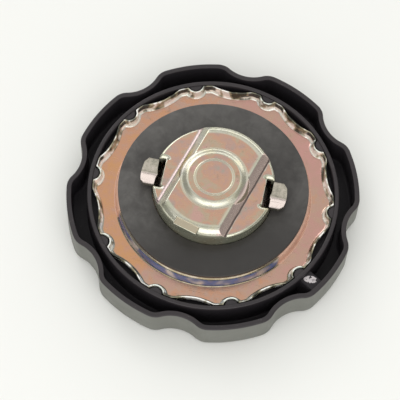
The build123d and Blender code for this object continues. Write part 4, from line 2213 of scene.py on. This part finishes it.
@dataclass(frozen=True)
class Softbox:
    """Rectangular lamp that faces the cap.

    Attributes:
        name: Name of the lamp.
        azimuth: Direction it stands in, in degrees from +X.
        elevation: Its height above the floor's plane, in degrees.
        distance: Metres from the cap.
        size: Width and height in metres.
        brightness: Brightness of its face, where 1 is a white surface in full light.
    """

    name: str
    azimuth: float
    elevation: float
    distance: float
    size: Point
    brightness: float

    def build(self) -> None:
        """Make the lamp."""
        light = bpy.data.lights.new(self.name, "AREA")
        light.shape = "RECTANGLE"
        light.size, light.size_y = self.size
        light.energy = self.brightness * math.pi * self.size[0] * self.size[1]
        lamp = bpy.data.objects.new(self.name, light)
        around, up = math.radians(self.azimuth), math.radians(self.elevation)
        level = Vector((math.cos(around), math.sin(around), 0.0))
        away = math.cos(up) * level + math.sin(up) * Vector((0.0, 0.0, 1.0))
        lamp.location = away * self.distance
        lamp.rotation_euler = away.to_track_quat("Z", "Y").to_euler()
        bpy.context.scene.collection.objects.link(lamp)


SOFTBOXES = (
    Softbox("key", -84.0, 38.0, 1.1, (1.7, 1.1), 1.3),
    Softbox("overhead_near", -81.0, 76.0, 1.2, (1.9, 0.6), 0.42),
    Softbox("overhead_far", 99.0, 64.0, 1.2, (1.9, 0.8), 0.42),
    Softbox("backdrop", 99.0, 24.0, 1.3, (2.6, 0.5), 1.0),
    Softbox("far_left", 130.0, 36.0, 1.3, (0.5, 0.5), 1.8),
)


@dataclass(frozen=True)
class Studio:
    """Plain pale floor with soft light from behind the camera and from above."""

    floor: Colour = (0.83, 0.83, 0.81, 1.0)
    floor_roughness: float = 0.9
    floor_size: float = 3.0
    surround: Colour = (0.900, 0.905, 0.870, 1.0)
    ambient: float = 0.70
    shown: float = 1.0
    mirrored: float = 0.35

    def build(self) -> None:
        """Make the floor, the world and the lamps."""
        bpy.ops.object.select_all(action="DESELECT")
        bpy.ops.mesh.primitive_plane_add(size=self.floor_size, location=(0.0, 0.0, 0.0))
        floor = bpy.context.object
        floor.name = "floor"
        finish = Finish("pale_floor")
        finish.feed({"Base Color": self.floor, "Roughness": self.floor_roughness})
        dress(floor, finish.material)
        self.world()
        for softbox in SOFTBOXES:
            softbox.build()

    def world(self) -> None:
        """Plain world: its own colour to the eye, dimmer as light and in mirrors."""
        world = bpy.data.worlds.new("surround")
        bpy.context.scene.world = world
        world.use_nodes = True
        world.node_tree.nodes.clear()
        graph = Graph(world.node_tree)
        path = graph.add("ShaderNodeLightPath").outputs
        seen = graph.greatest(path["Is Camera Ray"], path["Is Transmission Ray"])
        mirror = graph.product(path["Is Glossy Ray"], self.mirrored - self.ambient)
        strength = graph.total(graph.span(seen, self.ambient, self.shown), mirror)
        inputs = {"Color": self.surround, "Strength": strength}
        light = graph.add("ShaderNodeBackground", inputs).outputs["Background"]
        graph.add("ShaderNodeOutputWorld", {"Surface": light})


@dataclass(frozen=True)
class Viewpoint:
    """Camera that sees the cap as a person leaning over the table does."""

    frame_px: float = 400.0
    focal_px: float = 1892.12
    elevation: float = math.radians(65.06)
    azimuth: float = math.radians(9.0)
    roll: float = math.radians(2.98)
    depth: float = 0.6446
    aim: Point = (213.206, 192.538)
    rim_level: float = 0.0137
    sensor: float = 36.0

    def build(self) -> None:
        """Make the camera and use it."""
        look = Vector((0.0, math.cos(self.elevation), -math.sin(self.elevation)))
        level_up = Vector((0.0, math.sin(self.elevation), math.cos(self.elevation)))
        level_right = Vector((1.0, 0.0, 0.0))
        right = math.cos(self.roll) * level_right + math.sin(self.roll) * level_up
        up = math.cos(self.roll) * level_up - math.sin(self.roll) * level_right
        across = (self.aim[0] - self.frame_px / 2) / self.focal_px * self.depth
        above = (self.frame_px / 2 - self.aim[1]) / self.focal_px * self.depth
        stand = Matrix((right, up, -look)).transposed().to_4x4()
        stand.translation = -across * right - above * up - self.depth * look
        turn = Matrix.Rotation(self.azimuth, 4, "Z")
        lift = Matrix.Translation((0.0, 0.0, self.rim_level))
        lens = bpy.data.cameras.new("viewpoint")
        lens.sensor_width = self.sensor
        lens.lens = self.sensor * self.focal_px / self.frame_px
        camera = bpy.data.objects.new("viewpoint", lens)
        camera.matrix_world = lift @ turn @ stand
        bpy.context.scene.collection.objects.link(camera)
        bpy.context.scene.camera = camera
        bpy.context.scene.view_settings.view_transform = "Standard"


def main() -> None:
    """Build the cap's pieces in order, then the floor, the light and the camera."""
    logging.basicConfig(level=logging.INFO, format="%(message)s")
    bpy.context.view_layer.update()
    finish = finishes()
    HandKnob().build(finish["black_plastic"])
    PressedPlate().build(finish["plated_pan"])
    FlatGasket().build(finish["gasket_rubber"])
    DrawnCup().build(finish["plated_cup"])
    EarStrap().build(finish["plated_strap"])
    for entry in frame["record"]["subparts"]:
        node = frame["nodes"][entry["node"]]
        dress(node, finish[entry["material_slot"]])
    Studio().build()
    Viewpoint().build()


if __name__ == "__main__":
    main()
